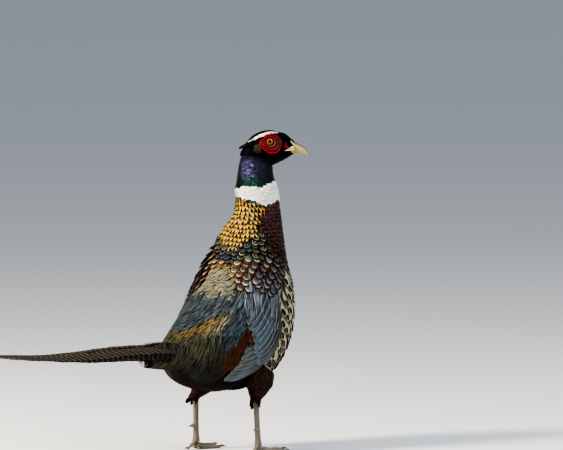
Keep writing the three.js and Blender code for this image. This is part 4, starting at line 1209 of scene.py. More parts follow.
def grow_face():
    """Tiny feathers on the skull, except on the bare skin, in the neck and on the bill, whose root they frame: a crest
    runs out over it, some end at the nose and some under the chin."""
    s, angle = brick_rows(skull, *FACE_ROWS)
    lengths = np.interp(s, [-16, 0, 25, 41], [5.2, 5, 4.2, 3.2]) * draw.uniform(0.85, 1.15, len(s))
    v = SMALL["places"]
    spots, outs, _ = walk(skull, s, angle, lengths, v, 0.12, draw.normal(0, 0.08, len(s)))
    height = -1.0 + (np.interp(s, [-16, 0], [0.8, 1.4]) + draw.normal(0, 0.1, len(s)))[:, None] * v
    mine = ~inside_neck(spots[:, -1]) & ~near_eye(spots[:, -1], 0.93) & ~near_eye(spots[:, 2], 0.9)
    p, _, z = to_head(spots[:, 2])
    crest = z > np.interp(p, [42, 45, 48], [377.8, 376.0, 374.3])
    nose = (z > 371.7) & (z < np.interp(p, [42, 45], [376.4, 372.4])) & (p < 44.5)
    chin = z < np.interp(p, [42, 46, 49], [363.2, 362.0, 361.4])
    mine &= (p < BILL_ROOT) | crest | nose | chin
    points = vanes_over(SMALL, spots, outs, height, 1.1, FACE)
    patches = bake_at_roots(SMALL, s, angle, -20, 50)
    piece = plumage("coat_face", SMALL, points[mine], draw.random((mine.sum(), 3)), patches[mine],
                    "glossy_neck", paint_by_place("face_black", 0.45, 0.8))
    tint = head_colour(spots[mine][:, -2])
    set_colours(piece.data, "tint", np.repeat(tint, points.shape[1], axis=0))


grow_face()

# %% [markdown]
# ## Closed tubes
# Limbs, toes, the bill and the body are all tubes: rings of points along a line, with a pole at each end. One function
# closes any such net of points and turns its faces outward.

# %% Tubes
def closed_tube(net):
    """Rings of points, rows by columns, closed by a pole at each end. Returns the points and two arrays of faces,
    turned so that the volume that they enclose is positive."""
    rows, count = net.shape[:2]
    points = np.concatenate([net.reshape(-1, 3), net[:1].mean(axis=1), net[-1:].mean(axis=1)])
    first = np.arange(count)
    last = first + (rows - 1) * count
    caps = np.concatenate([
        np.stack([np.full(count, rows * count), np.roll(first, -1), first], -1),
        np.stack([np.full(count, rows * count + 1), last, np.roll(last, -1)], -1),
    ])
    quads = ring_faces(rows, count)
    triangles = points[np.concatenate([caps, quads[:, :3], quads[:, [0, 2, 3]]])]
    volume = (triangles[:, 0] * np.cross(triangles[:, 1], triangles[:, 2])).sum()
    return (points, quads, caps) if volume > 0 else (points, quads[:, ::-1], caps[:, ::-1])


def together(tubes):
    """Several closed surfaces as one set of points and faces."""
    starts = np.cumsum([0] + [len(points) for points, _, _ in tubes[:-1]])
    return (
        np.concatenate([points for points, _, _ in tubes]),
        np.concatenate([quads + start for (_, quads, _), start in zip(tubes, starts)]),
        np.concatenate([caps + start for (_, _, caps), start in zip(tubes, starts)]),
    )


def tube_map(rows, count):
    """Where each point of a closed tube lies along it and round it, from 0 to 1."""
    v, u = np.meshgrid(np.linspace(0, 1, rows), np.arange(count) / count, indexing="ij")
    return np.concatenate([np.stack([u.ravel(), v.ravel()], -1), [[0.5, 0], [0.5, 1]]])


print("points of a small tube:", len(tube_map(20, 16)))

# %% [markdown]
# ## Thighs
# The thighs are feathered down to the heel. Each is a tapering limb, a surface of two parameters like the trunk, so
# the same rows of roots and the same walk dress it. Its feathers are short and dark.

# %% Thighs as surfaces
THIGH_TOP, HEEL, TOE_ROOT = (20, 35, 100), (-3, 45, 67), (0, 46.5, 8)
THIGH_RADII = np.array([[0, 27, 19], [0.45, 20, 15], [0.8, 11.5, 9.5], [1, 6.6, 6]])


def on_side(place, side):
    """A place given with y outward, on the right for side 1 and on the left for side -1."""
    return np.array([place[0], -side * place[1], place[2]], float)


def limb(start, end, radii):
    """A surface round the line from end, where s is 0, to start, where s is 1."""
    axis = unit(start - end)
    across = unit(np.array([0.0, 1.0, 0.0]) - axis * axis[1])
    fore = np.cross(across, axis)

    def surface(s, angle, out=0.0):
        """The line at s, plus the cosine of the angle forward and its sine aside, each times a radius."""
        deep, wide = columns(radii, 1 - s)
        middle = end + (start - end) * np.asarray(s)[..., None]
        return (middle + fore * (np.cos(angle) * (deep + out))[..., None]
                + across * (np.sin(angle) * (wide + out))[..., None])

    return surface


thighs = {name: limb(on_side(THIGH_TOP, side), on_side(HEEL, side), THIGH_RADII) for name, side in SIDES.items()}

print("length of a thigh, mm:", round(math.dist(THIGH_TOP, HEEL), 1))

# %% Thigh feathers
THIGH_ROWS, THIGH_LENGTH, THIGH_HALF = (0.99, 0.03, 4.4, 4.0), 15, 3.0


def grow_thigh(name, surface):
    """Feathers over the whole limb, which rise from under its skin."""
    s, angle = brick_rows(surface, *THIGH_ROWS)
    lengths = THIGH_LENGTH * draw.uniform(0.85, 1.15, len(s))
    v = SMALL["places"]
    spots, outs, _ = walk(surface, s, angle, lengths, v, 0.3, draw.normal(0, 0.1, len(s)))
    height = -2.4 + (3.2 + draw.normal(0, 0.2, len(s)))[:, None] * v
    points = vanes_over(SMALL, spots, outs, height, THIGH_HALF, SPOON)
    return plumage("coat_thigh_" + name, SMALL, points, draw.random((len(s), 3)), bake_at_roots(SMALL, s, angle, 0, 1),
                   "thigh_plumage", paint_dark("thigh_umber_" + name, "umber", "rust"))


for name, surface in thighs.items():
    grow_thigh(name, surface)

# %% [markdown]
# ## The skin under the coat
# Under the feathers the bird is one body without a seam, so the tubes of trunk, skull and thighs, made thinner by the
# depth of the coat, are melted into one skin with a voxel remesh. Booleans would leave long thin faces at the joins.
# The skin takes the colours of the coat, darkened as painted shade under the feathers, so that a gap between
# feathers shows the right colour.

# %% One skin
VOXEL = 1.5


def nearest(points, marks):
    """The number of the mark nearest to each point, from squared distances reckoned in blocks."""
    points, marks = points.astype(np.float32), marks.astype(np.float32)
    squares = (marks**2).sum(axis=1)
    return np.concatenate([(squares - 2 * block @ marks.T).argmin(axis=1) for block in np.array_split(points, 60)])


def paint_skin():
    """The stored colour, darker overall and darker and lighter in small lumps, as painted shade under the coat."""
    p = Paint("skin", Roughness=0.8, Specular_IOR_Level=0.2)
    # painted shade: the skin keeps between 0.35 and 0.85 of the stored colour
    colour = p.shade(p.attribute("tint"), p.noise(1.2) * 0.5 + 0.35)
    return p.finish(colour, height=p.noise(0.9), depth=0.5)


def make_skin():
    """Trunk, skull and thighs, less the depth of the coat, melted into one surface."""
    turns = np.linspace(-math.pi, math.pi, 97)[:-1]
    body_net, skull_net, thigh_net = (np.meshgrid(np.linspace(*ends), turns, indexing="ij") for ends in (
        (-0.6, 14.7, 150), (-17.5, 41.8, 60), (0.0, 0.95, 24)))
    tubes = [closed_tube(trunk(*body_net, out=-coat_depth(body_net[0]))), closed_tube(skull(*skull_net, out=-1.3))]
    tubes += [closed_tube(surface(*thigh_net, out=-2.0)) for surface in thighs.values()]
    rough = in_scene("rough", new_mesh("rough", *together(tubes)))
    melt = rough.modifiers.new("melt", "REMESH")
    melt.mode, melt.voxel_size, melt.use_smooth_shade = "VOXEL", VOXEL * MM, True
    mesh = bpy.data.meshes.new_from_object(rough.evaluated_get(bpy.context.evaluated_depsgraph_get()))
    bpy.data.objects.remove(rough)
    mesh.name = "skin"
    points = np.empty(3 * len(mesh.vertices), np.float32)
    mesh.vertices.foreach_get("co", points)
    ground = np.array([plain(TRACT_GROUND[name]) for name in TRACTS])
    on_body, on_skull = trunk(*body_net), skull(*skull_net)
    marks = np.concatenate([on_body.reshape(-1, 3), on_skull.reshape(-1, 3)])
    colours = np.concatenate([ground[tract_at(*body_net)].reshape(-1, 3), head_colour(on_skull).reshape(-1, 3)])
    set_colours(mesh, "tint", colours[nearest(points.reshape(-1, 3) / MM - ORIGIN, marks)])
    return dress("skin", mesh, "body_plumage", paint_skin(), (
        "torso", "neck_lower", "neck_ring", "neck_upper", "head", "thigh_right", "thigh_left"))


make_skin()

# %% [markdown]
# ## Ear tufts
# A cock in spring carries two small horns of narrow feathers behind the ears, which stick out over the nape. Each is
# a bundle of long vanes round one curve, closer together at the root than at the tip.

# %% Tufts
TUFT_PATH = np.array([[0, -2, 12.2, 370.5], [0.4, -10, 10.8, 371.2], [0.75, -16, 9, 369.4], [1, -21, 7.4, 367.3]])
TUFT_COUNT = 16


def make_tufts():
    """Each vane follows the curve, moved aside by a fixed random offset that fades towards the tip."""
    v = MIDDLE["places"]
    all_points = []
    for side in SIDES.values():
        reach = draw.uniform(0.55, 1.0, TUFT_COUNT)
        path = through(TUFT_PATH, reach[:, None] * v)
        spread = (1 - 0.6 * v)[None, :, None] * draw.normal(0, 1, (TUFT_COUNT, 1, 3)) * (0.4, 0.5, 0.7)
        p, l, z = np.moveaxis(path + spread, -1, 0)
        spine = from_head(p, side * l, z)
        outs = np.broadcast_to(side * from_head(0, 1, 0) - side * from_head(0, 0, 0), spine.shape)
        all_points.append(feather_points(MIDDLE, spine, outs, draw.uniform(0.9, 1.4, TUFT_COUNT), FACE))
    points = np.concatenate(all_points)
    patches = bake_patch(MIDDLE, np.repeat([0.3, 0.7], TUFT_COUNT), np.tile(np.linspace(0.1, 0.9, TUFT_COUNT), 2))
    piece = plumage("ear_tufts", MIDDLE, points, draw.random((len(points), 3)), patches, "glossy_neck",
                    paint_by_place("tuft_black", 0.4, 0.7))
    set_colours(piece.data, "tint", plain("night") * 0.7)


make_tufts()

# %% [markdown]
# ## Eyes
# An eye is a ball with a clearer, more curved window in front. The iris and the pupil lie at fixed angles from the
# middle of that window, so the ball is turned with its pole outward, and the colour is a function of the angle from
# the pole. A separate glass dome would look the same at this size, so the gloss comes from a coat on the ball.

# %% Eyeballs
EYE_ROWS, EYE_COLUMNS = 48, 64
BALL_P, BALL_Z = EYE_P - 0.8, EYE_Z + 0.7
WINDOW_ANGLE, WINDOW_RISE = math.radians(44), 0.5
PUPIL_ANGLE, IRIS_ANGLE = 19 / 180, 37 / 180


def paint_eye():
    """Black pupil, orange iris with fine spokes, a dark rim and a dark ball behind it."""
    p = Paint("eye", Roughness=0.3, Coat_Weight=0.45, Coat_Roughness=0.02, Specular_IOR_Level=0.2)
    x, y = p.uv("vane")
    spokes = p.node("ShaderNodeTexNoise", {"noise_dimensions": "2D"}, Vector=p.node(
        "ShaderNodeCombineXYZ", {}, x * 40, y * 6), Scale=1.0, Detail=3.0)
    iris = p.mix(spokes.past(0.3, 0.7), "iris_deep", "iris")
    iris = p.mix(y.past(PUPIL_ANGLE, PUPIL_ANGLE + 0.025), "iris_core", iris)
    iris = p.mix(y.past(IRIS_ANGLE - 0.035, IRIS_ANGLE - 0.01) * 0.7, iris, "iris_rim")
    colour = p.mix(y.past(PUPIL_ANGLE - 0.008, PUPIL_ANGLE + 0.008), "pupil", iris)
    return p.finish(p.mix(y.past(IRIS_ANGLE - 0.008, IRIS_ANGLE + 0.01), colour, "ball"))


def make_eyes():
    """Rings at equal angles from the pole, on a radius that is larger over the window."""
    paint = paint_eye()
    polar, turn = round_grid(np.linspace(0.02, math.pi - 0.02, EYE_ROWS), EYE_COLUMNS)
    window = np.clip(1 - (polar / WINDOW_ANGLE) ** 2, 0, 1) ** 1.5
    radius = EYE_RADIUS + WINDOW_RISE * window
    for name, side in SIDES.items():
        net = from_head(BALL_P + radius * np.sin(polar) * np.cos(turn), side * (EYE_MIDDLE + radius * np.cos(polar)),
                        BALL_Z + radius * np.sin(polar) * np.sin(turn))
        mesh = new_mesh("eye_" + name, *closed_tube(net))
        set_uv(mesh, "vane", tube_map(EYE_ROWS, EYE_COLUMNS))
        dress("eyeball_" + name, mesh, "eye", paint, ("eye_" + name,))


make_eyes()

# %% [markdown]
# ## The red face
# The bare skin round the eye is a thick ring with swollen folds, covered with small warts. It is one closed surface
# that runs round in two ways, about the eye and about its own section, so no edge shows. Its height over the skull is
# a profile of folds from the lid outward, plus warts from a sum of waves.

# %% Wattles
WATTLE_FOLDS = np.array([[0, 0.9], [0.07, 1.7], [0.16, 1.0], [0.24, 0.5], [0.34, 1.5], [0.42, 1.7], [0.5, 1.0],
                         [0.6, 1.6], [0.68, 1.2], [0.76, 0.7], [0.86, 1.9], [0.94, 1.6], [1, 0.2]])
LID_LENGTH, LID_HEIGHT, WATTLE_OFF, WATTLE_THICK = 5.5, 4.6, 0.45, 0.7
WATTLE_TURNS, WATTLE_ACROSS = 150, 34
# the painted shade in the corner before the eye: p, z, half its length and half its height
DUSK_P, DUSK_Z, DUSK_LONG, DUSK_TALL = 30.2, 376.8, 5.6, 6.8


def head_side(p, z):
    """How far the skull reaches to the side at p and height z."""
    top, bottom, half = columns(HEAD, p)
    share = (z - (top + bottom) / 2) / ((top - bottom) / 2)
    return half * np.sqrt(np.maximum(0.02, 1 - share**2))


def paint_face():
    """Scarlet on the folds, painted shade of dark blood red in the furrows and a darker painted shade in the corner
    before the eye, nearly black warts and a pale lid.
    """
    p = Paint("face_skin", Roughness=0.45, Specular_IOR_Level=0.28, Subsurface_Weight=0.15,
              Subsurface_Radius=(1.0, 0.2, 0.1), Subsurface_Scale=0.0015)
    share, height, dusk = p.parts(p.attribute("tones"))
    # painted shade: the lower the skin lies between its folds, the darker its red
    red = p.mix(height.past(0.4, 1.0), "furrow", "scarlet")
    red = p.mix((1 - share.past(0.25, 0.75)) * 0.55, red, "blood")
    red = p.mix(p.noise(1.1).past(0.5, 0.62) * 0.6, red, "wart")
    # painted shade in the corner before the eye
    red = p.mix(dusk, red, "dusk")
    red = p.mix(1 - share.past(0.09, 0.16), red, "lid_edge")
    colour = p.mix(share.past(0.005, 0.02) * (1 - share.past(0.04, 0.055)), red, "lid")
    return p.finish(colour, height=p.noise(0.55), depth=0.25)


red_face = paint_face()


def make_wattles():
    """Out over the folds from the lid to the rim, where share is 0 and 1, and back underneath. The rim is the measured
    reach, made smooth by keeping only its slow waves."""
    turns = np.arange(WATTLE_TURNS) * 2 * math.pi / WATTLE_TURNS
    slow = np.abs(np.fft.fftfreq(WATTLE_TURNS, 1 / WATTLE_TURNS)) < 9
    reach = np.real(np.fft.ifft(np.fft.fft(reach_at(turns)) * slow))
    share = np.concatenate([np.linspace(0, 1, WATTLE_ACROSS), np.linspace(1, 0, WATTLE_ACROSS)])
    turn, share = np.meshgrid(turns, share, indexing="ij")
    above = np.arange(2 * WATTLE_ACROSS) < WATTLE_ACROSS
    inner_p, inner_z = LID_LENGTH * np.cos(turn), LID_HEIGHT * np.sin(turn)
    outer_p, outer_z = reach[:, None] * np.cos(turn), reach[:, None] * np.sin(turn)
    p, z = EYE_P + inner_p + (outer_p - inner_p) * share, EYE_Z + inner_z + (outer_z - inner_z) * share
    away = np.hypot(p - BALL_P, z - BALL_Z)
    over_eye = EYE_MIDDLE + np.sqrt(np.maximum(0, (EYE_RADIUS + 0.35) ** 2 - away**2))
    base = np.maximum(head_side(p, z) + WATTLE_OFF, over_eye) - 0.3
    folds = through(WATTLE_FOLDS, share)[..., 0]
    warts = 0.45 * np.sin(p * 3.9 + np.sin(z * 2.3)) * np.sin(z * 3.6 + np.sin(p * 1.9)) * np.sin(math.pi * share)
    ripple = 0.5 * np.sin(3 * turn + 9 * share) * np.sin(math.pi * share) * np.sin(5 * turn + 1)
    l = base + np.where(above, np.maximum(folds + warts + ripple, 0.1), -WATTLE_THICK)
    # painted shade in the corner before the eye, strongest in its middle
    dusk = 0.8 * np.exp(-(((p - DUSK_P) / DUSK_LONG) ** 4 + ((z - DUSK_Z) / DUSK_TALL) ** 4))
    faces = ring_faces(WATTLE_TURNS + 1, 2 * WATTLE_ACROSS) % share.size
    for name, side in SIDES.items():
        points = from_head(p, side * l, z).reshape(-1, 3)
        mesh = new_mesh("wattle_" + name, points, faces[:, ::side])
        # the tones: the share from lid to rim, the height that sets the painted shade in the furrows, and the painted
        # shade before the eye
        set_colours(mesh, "tones", np.stack([share, (folds + warts) / 2, dusk], -1).reshape(-1, 3))
        dress("face_" + name, mesh, "face_skin", red_face, ("wattle_" + name,))


make_wattles()

# %% [markdown]
# ## The bill
# The upper half arches over the lower one and ends in a hook. Each half is a tube whose section is an arch on a flat
# floor. The nostril is a slit under a soft flap, which is raised in the surface itself, because a bump in the
# material would vanish in profile.

# %% Bill
# p, top z, bottom z and half width of each half
UPPER_BILL = np.array([[38.5, 380.4, 365.3, 7.8], [42.2, 379.6, 365.1, 7.4], [47, 375.9, 364.3, 6.6],
                       [52, 373.2, 362.9, 5.7], [57, 370.6, 361.7, 4.6], [61, 367.1, 360.6, 3.3],
                       [64, 362.7, 359.2, 1.8], [65.4, 359.7, 358.2, 0.8]])
LOWER_BILL = np.array([[38.5, 364.9, 361.6, 5.6], [42.2, 364.8, 361.4, 5.6], [48, 363.9, 360.9, 5.2],
                       [54, 362.2, 360.2, 4.2], [59, 361.0, 359.1, 2.9], [61.5, 360.2, 358.9, 1.4]])
BILL_ROWS, BILL_COLUMNS = 110, 72
FLAP_TOP, FLAP_FOOT = np.array([42.6, 377.4]), np.array([46.9, 371.9])
SLIT_TOP, SLIT_FOOT = FLAP_TOP + (-0.6, -2.2), FLAP_FOOT + (-0.9, -1.0)
POLES = np.zeros((2, 3))


def paint_bill():
    """Pale horn in two shades, greyer at the tip and dark along the ridge, with fine growth lines and painted shade in
    the slit of the nostril.
    """
    p = Paint("bill_horn", Roughness=0.38, Coat_Weight=0.3, Coat_Roughness=0.25)
    x, y = p.uv("vane")
    nostril, ridge, flap = p.parts(p.attribute("tones"))
    horn = p.mix(p.noise(3.5).past(0.3, 0.7), "horn", "horn_shade")
    horn = p.mix(y.past(0.75, 1.0) * 0.35, horn, "horn_tip")
    horn = p.mix(ridge * 0.9, horn, "ridge")
    horn = p.mix(flap * 0.8, horn, "flap")
    # painted shade in the slit of the nostril
    horn = p.mix(nostril, horn, "nostril")
    lines = (y * 60 + p.noise(2.5) * 3).wave(2.2)
    horn = p.shade(horn, lines * 0.08 + 0.94)
    return p.finish(horn, roughness=p.noise(2.0) * 0.2 + 0.3, height=lines, depth=0.05)


def off_line(place, start, end):
    """How far places lie from a straight line between two others."""
    along = np.clip(((place - start) * (end - start)).sum(-1) / ((end - start) ** 2).sum(), 0, 1)
    return np.linalg.norm(place - start - along[..., None] * (end - start), axis=-1)


bill_horn = paint_bill()


def make_bill():
    """Each half: half the width times the cosine of the turn, and the crest's height over the flat side times an arch.
    The upper half gets a flap and a slit for the nostril, a cutting edge and a dark ridge."""
    share, turn = round_grid(np.linspace(0, 1, BILL_ROWS), BILL_COLUMNS)
    arch = np.where(np.sin(turn) >= 0, np.abs(np.sin(turn)) ** 0.85, -0.08 * np.abs(np.sin(turn)))
    for name, rows in {"upper": UPPER_BILL, "lower": LOWER_BILL}.items():
        upper = name == "upper"
        p = rows[0, 0] + (rows[-1, 0] - rows[0, 0]) * share
        top, bottom, half = columns(rows, p)
        flat, crest = (bottom, top) if upper else (top, bottom)
        l, z = half * np.cos(turn), flat + (crest - flat) * arch
        place = np.stack([p, z], -1)
        flap = upper * np.exp(-(off_line(place, FLAP_TOP, FLAP_FOOT) ** 4))
        slit = upper * np.exp(-((off_line(place, SLIT_TOP, SLIT_FOOT) / 0.6) ** 4))
        edge = upper * 0.35 * np.exp(-(((z - bottom) / 1.1) ** 2)) * (p > SKULL_FRONT)
        l = l + np.sign(l) * (0.8 * flap - 1.1 * slit + edge)
        ridge = upper * np.exp(-((turn - math.pi / 2) / 0.5) ** 4)
        mesh = new_mesh("bill_" + name, *closed_tube(from_head(p, l, z)))
        set_uv(mesh, "vane", tube_map(BILL_ROWS, BILL_COLUMNS))
        # the tones: the nostril's slit, which takes painted shade, the ridge and the flap
        tones = np.stack([slit, ridge, flap], -1).reshape(-1, 3)
        set_colours(mesh, "tones", np.concatenate([tones, POLES]))
        dress(name + "_bill", mesh, "bill_horn", bill_horn, ("bill_" + name,))


make_bill()

# %% [markdown]
# ## Lips and lores
# The corner of the mouth runs back under the red skin as a pale lip, and a red spot stands before each eye. Both are
# small cushions on the side of the head, so their rings follow its surface and only their height is their own.

# %% Lips at the corners of the mouth, and the red spots before the eyes
LIP_ROWS, LIP_COLUMNS, LIP_BACK, LIP_LENGTH = 40, 20, 35.1, 11.5
LORE_P, LORE_Z = 36.0, 371.5
# p, middle z and half height of the lip
LIP = np.array([[35, 365.4, 0.2], [38, 366.2, 1.1], [41, 367.0, 1.9], [44, 367.9, 2.7], [47, 368.2, 2.9]])


def make_lips():
    """A tapered cushion on the side of the head, from the root of the bill back to the corner of the mouth."""
    share, turn = round_grid(np.linspace(0, 1, LIP_ROWS), LIP_COLUMNS)
    p = LIP_BACK + LIP_LENGTH * share
    middle, tall = columns(LIP, p)
    l = np.maximum(head_side(np.minimum(p, BILL_ROOT), middle), through(UPPER_BILL, p)[..., 2] * 0.97) - 0.1
    l, z = l + 0.75 * np.cos(turn), middle + tall * np.sin(turn)
    mesh = new_mesh("lips", *together([closed_tube(from_head(p, side * l, z)) for side in SIDES.values()]))
    set_uv(mesh, "vane", np.tile(tube_map(LIP_ROWS, LIP_COLUMNS) * 0.3, (2, 1)))
    set_colours(mesh, "tones", (0, 0, 0.8))
    return dress("lips", mesh, "bill_horn", bill_horn)


def make_lores():
    """A small wart-covered cushion of red skin on each side, in front of the eye."""
    polar, turn = round_grid(np.linspace(0.03, 0.97, 24) * math.pi, 32)
    reach = np.sin(polar) * (1 + 0.22 * np.cos(3 * turn + 1.9) + 0.08 * np.sin(7 * turn))
    p, z = LORE_P + 3.1 * reach * np.cos(turn), LORE_Z + 3.3 * reach * np.sin(turn)
    l = head_side(LORE_P + 0 * p, LORE_Z) - 0.1 + 1.0 * np.cos(polar) + 0.16 * np.sin(p * 5) * np.sin(z * 5)
    mesh = new_mesh("lores", *together([closed_tube(from_head(p, side * l, z)) for side in SIDES.values()]))
    # the tones of a lore: half way out, high on the folds, and a little painted shade
    set_colours(mesh, "tones", (0.5, 0.75, 0.1))
    return dress("lores", mesh, "face_skin", red_face)


make_lips()
make_lores()

# %% [markdown]
# ## Legs and feet
# The legs are bare and covered with horn plates, which overlap down the front of the shank and along the top of each
# toe. The plates are steps in the radius of a tube: it widens slowly and falls back at once, as in a stack of cups.
# Where the toes meet the ground their surface is cut flat, so that the weight of the bird shows.

# %% Shanks
SHANK_ROWS, SHANK_COLUMNS, SHANK_PLATES = 220, 40, 16
SPUR_ROWS, SPUR_COLUMNS, SPUR_LENGTH, SPUR_PLACE = 20, 16, 13, 0.62
# heading in degrees, length and radius of each toe, and the length of its claw
TOES = {"middle": (6, 45, 3.3, 11), "inner": (-32, 32, 3.0, 9.5), "outer": (42, 35, 3.0, 9),
        "hind": (172, 15, 2.3, 7)}


def plates(share, count):
    """A saw: rises from 0 to 1 over each plate and falls back at its edge."""
    return (share * count) % 1.0


def paint_leg():
    """Grey-brown horn, darker at the edge of each plate, and small scales behind where there are no plates."""
    p = Paint("leg_scales", Roughness=0.5, Specular_IOR_Level=0.4)
    plate, front, _ = p.parts(p.attribute("tones"))
    cells = p.node("ShaderNodeTexVoronoi", {"feature": "DISTANCE_TO_EDGE"}, Vector=p.place(), Scale=1 / (1.9 * MM))
    horn = p.mix(p.noise(4), "scales", "scales_shade")
    horn = p.mix(plate.past(0.8, 1.0) * 0.5, horn, "plate_edge")
    horn = p.mix((1 - cells.past(0.0, 0.09)) * (1 - front) * 0.6, horn, "plate_edge")
    scales = cells.past(0.0, 0.1) * (1 - front)
    return p.finish(horn, roughness=p.noise(2) * 0.25 + 0.4, height=scales, depth=0.25)


def around(line, turn, fore, fore_radius, across, across_radius):
    """A net round a line: the cosine of the turn times one radius along fore, plus the sine times one along across."""
    return line + fore * (fore_radius * np.cos(turn))[..., None] + across * (across_radius * np.sin(turn))[..., None]


def swell(share, place, width):
    """A soft bump of height 1 at a place along a limb."""
    return np.exp(-((share - place) / width) ** 2)


def leg_tubes(side):
    """Shank with its knuckle and spur: the radius follows the bone, plus a plate's step on the front."""
    start, end = on_side(HEEL, side), on_side(TOE_ROOT, side)
    axis = unit(end - start)
    across = unit(np.array([0.0, 1.0, 0.0]) - axis * axis[1])
    fore = unit(np.cross(axis, across)) * np.sign(np.cross(axis, across)[0])
    share, turn = round_grid(np.linspace(0, 1, SHANK_ROWS), SHANK_COLUMNS)
    front = np.clip(np.cos(turn) * 1.6 - 0.1, 0, 1)
    plate = plates(share, SHANK_PLATES)
    bone = 4.1 - 0.6 * np.sin(math.pi * share) + 1.9 * swell(share, 0.02, 0.09) + 0.9 * swell(share, 1, 0.08)
    radius = bone + 0.42 * plate * front
    shank = around(start + (end - start) * (share - 0.03)[..., None], turn, fore, radius * 1.08, across, radius * 0.86)
    tones = np.stack([plate * front, front, 0 * front], -1).reshape(-1, 3)
    root = start + (end - start) * SPUR_PLACE
    reach = unit(-fore + 0.2 * across * -side + 0.2 * axis) * SPUR_LENGTH
    share, turn = round_grid(np.linspace(0, 1, SPUR_ROWS), SPUR_COLUMNS)
    thick = 2.9 * (1 - share**1.5) + 0.15
    spur = around(root + reach * share[..., None], turn, axis, thick, across, thick * 0.85)
    spur = spur - axis * (1.6 * share**2)[..., None]
    bare = np.tile([0.0, 1, 0], (SPUR_ROWS * SPUR_COLUMNS + 2, 1))
    return [closed_tube(shank), closed_tube(spur)], [tones, POLES, bare]


print(sum(len(points) for points, _, _ in leg_tubes(1)[0]), "points on a shank and its spur")

# %% Toes
# the share of a toe's length and the height over the floor, from the root to the tip
TOE_PATH = np.array([[0, 0, 7], [0.3, 0.3, 3.3], [0.65, 0.65, 2.2], [1, 1, 1.9]])
HIND_PATH = np.array([[0, 0, 11], [0.5, 0.5, 6], [1, 1, 1.4]])
TOE_ROWS, TOE_COLUMNS = 90, 28


def toe_line(name, side, share):
    """The middle of a toe, as a smooth curve through its path, and its heading."""
    heading, length, _, _ = TOES[name]
    turn = math.radians(heading)
    ahead = np.array([math.cos(turn), -side * math.sin(turn), 0])
    along, z = columns(HIND_PATH if name == "hind" else TOE_PATH, share)
    middle = on_side(TOE_ROOT, side) * (1, 1, 0)
    return middle + ahead * (length * along)[..., None] + UP * z[..., None], ahead


def toe_tube(name, side):
    """A toe: its radius shrinks slowly, swells at the pads and steps at each plate on top, and it is flat on the
    floor."""
    share, turn = round_grid(np.linspace(0, 1, TOE_ROWS), TOE_COLUMNS)
    line, ahead = toe_line(name, side, share)
    _, length, thick, _ = TOES[name]
    top = np.clip(np.sin(turn) * 1.5, 0, 1)
    plate = plates(share, max(5, length / 2.6))
    radius = thick * (1 - 0.24 * share) * (1 + 0.1 * np.cos(share * math.pi * 6)) + 0.28 * plate * top
    radius = radius * np.sqrt(np.clip(1.04 - share**12, 0.04, 1))
    net = around(line, turn, np.cross(UP, ahead), radius, UP, radius * 1.05)
    net[..., 2] = np.maximum(net[..., 2], 0)
    return closed_tube(net), np.stack([plate * top, top, 0 * top], -1).reshape(-1, 3)


def make_legs():
    """On each side one piece of shank and spur and one of the four toes, with their tones in the same order."""
    paint = paint_leg()
    for name, side in SIDES.items():
        tubes, tones = leg_tubes(side)
        mesh = new_mesh("leg_" + name, *together(tubes))
        set_colours(mesh, "tones", np.concatenate(tones))
        dress("shank_plates_" + name, mesh, "leg_scales", paint, ("shank_" + name,))
        toes = [toe_tube(toe, side) for toe in TOES]
        mesh = new_mesh("toes_" + name, *together([tube for tube, _ in toes]))
        set_colours(mesh, "tones", np.concatenate([part for _, tones in toes for part in (tones, POLES)]))
        dress("toe_plates_" + name, mesh, "leg_scales", paint, ("foot_" + name,))


make_legs()

# %% [markdown]
# ## Claws
# A claw is a bent cone of dark horn. It starts inside the end of its toe, so that no gap shows, and comes down to the
# floor.

# %% Claws
CLAW_ROWS, CLAW_COLUMNS, CLAW_FLOOR, CLAW_TIP = 30, 20, 0.08, 0.25


def paint_claw():
    """Brown horn that darkens to the tip, with fine lines along it."""
    p = Paint("claw_horn", Roughness=0.35, Coat_Weight=0.2, Coat_Roughness=0.3)
    x, y = p.uv("vane")
    horn = p.mix(y, "claw", "claw_tip")
    return p.finish(p.shade(horn, p.noise(1.5) * 0.3 + 0.85), height=x.wave(0.07), depth=0.04)


def make_claws():
    """A bent cone at the end of each toe, whose point comes down to the floor."""
    paint = paint_claw()
    share, turn = round_grid(np.linspace(0, 1, CLAW_ROWS), CLAW_COLUMNS)
    for name, side in SIDES.items():
        tubes = []
        for toe, (_, _, thick, length) in TOES.items():
            end, ahead = toe_line(toe, side, np.array(1.0))
            radius = thick * 0.62 + (CLAW_TIP - thick * 0.62) * share**1.3
            z = end[2] + 1.4 * np.sin(math.pi * share * 0.9) - (end[2] - 0.9) * share**2
            line = end * (1, 1, 0) + ahead * (length * share - 1.5)[..., None] + UP * z[..., None]
            net = around(line, turn, np.cross(UP, ahead), radius * 0.8, UP, radius)
            net[..., 2] = np.maximum(net[..., 2], CLAW_FLOOR)
            tubes.append(closed_tube(net))
        mesh = new_mesh("claws_" + name, *together(tubes))
        set_uv(mesh, "vane", np.tile(tube_map(CLAW_ROWS, CLAW_COLUMNS), (len(TOES), 1)))
        dress("claws_" + name, mesh, "claw_horn", paint, [f"claw_{toe}_{name}" for toe in TOES])


make_claws()

# %% [markdown]
# ## Camera, floor and light
# The photograph was taken from behind the bird's right side with a long lens, a little above its back. The camera
# stands at that angle ten metres away, and its lens is reckoned from the width of the view at the bird. The light is
# a soft studio version of the photograph's low sun: a warm large lamp from the bird's left and rear, and a cool fill.

# %% Camera
PHOTO_WIDTH, MM_A_PIXEL = 563, 1.22
CAMERA_TURN, CAMERA_RISE, CAMERA_AWAY = -55, 4, 10.0
# the middle of the view, in millimetres across and up from the bird's place
AIM_RIGHT, AIM_UP = 66.5, 275.8
SENSOR = 36.0


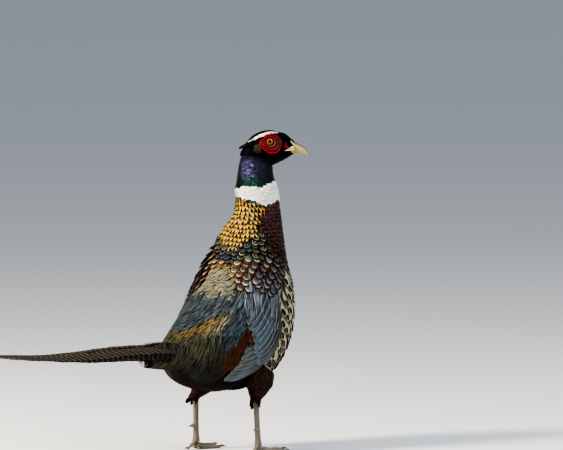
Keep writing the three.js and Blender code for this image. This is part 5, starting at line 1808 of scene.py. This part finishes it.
def direction(turn, rise):
    """The way to a place that is turned from the bird's right side and raised, both in degrees."""
    turn, rise = math.radians(turn), math.radians(rise)
    return np.array([math.sin(turn) * math.cos(rise), -math.cos(turn) * math.cos(rise), math.sin(rise)])


def look(name, data, where, at):
    """Puts a camera or lamp at a place and points it at another."""
    thing = in_scene(name, data)
    thing.location = where
    thing.rotation_euler = (Vector(at) - Vector(where)).to_track_quat("-Z", "Y").to_euler()
    return thing


back = direction(CAMERA_TURN, CAMERA_RISE)
right = unit(np.cross(UP, back))
aim = (right * AIM_RIGHT + np.cross(back, right) * AIM_UP + ORIGIN) * MM
lens = bpy.data.cameras.new("camera")
lens.sensor_width, lens.lens = SENSOR, SENSOR * CAMERA_AWAY / (PHOTO_WIDTH * MM_A_PIXEL * MM)
lens.clip_start, lens.clip_end = 0.1, 100.0
bpy.context.scene.camera = look("camera", lens, aim + back * CAMERA_AWAY, aim)
print("lens, mm:", round(lens.lens, 1))

# %% Floor and lamps
FLOOR_REACH = 60000
LIT_PLACE = (np.array([0, 0, 190]) + ORIGIN) * MM
x, y = np.array([[-1, -1], [1, -1], [1, 1], [-1, 1]]).T * FLOOR_REACH
floor = in_scene("floor", new_mesh("floor", points_of(x, y, -0.3), np.array([[0, 1, 2, 3]])))
floor.data.materials.append(Paint("floor", Base_Color=(0.8, 0.81, 0.82, 1), Roughness=0.9).material)


def lamp(name, turn, rise, away, size, watts, colour):
    """A square soft lamp at an angle round the bird."""
    light = bpy.data.lights.new(name, "AREA")
    light.size, light.energy, light.color = size, watts, colour
    return look(name, light, LIT_PLACE + direction(turn, rise) * away, LIT_PLACE)


lamp("sun", -118, 32, 2.2, 0.5, 92, (1.0, 0.88, 0.7))
lamp("fill", 5, 35, 2.4, 1.6, 32, (0.84, 0.91, 1.0))
lamp("top", -60, 75, 2.2, 1.6, 16, (1.0, 0.98, 0.95))
world = bpy.data.worlds.new("world")
bpy.context.scene.world = world
world.use_nodes = True
sky = world.node_tree.nodes["Background"].inputs
sky["Color"].default_value, sky["Strength"].default_value = (0.62, 0.68, 0.76, 1), 0.46

# The plain look is flat and pale, so a look with more contrast is chosen for the view
bpy.context.scene.view_settings.look = "AgX - High Contrast"
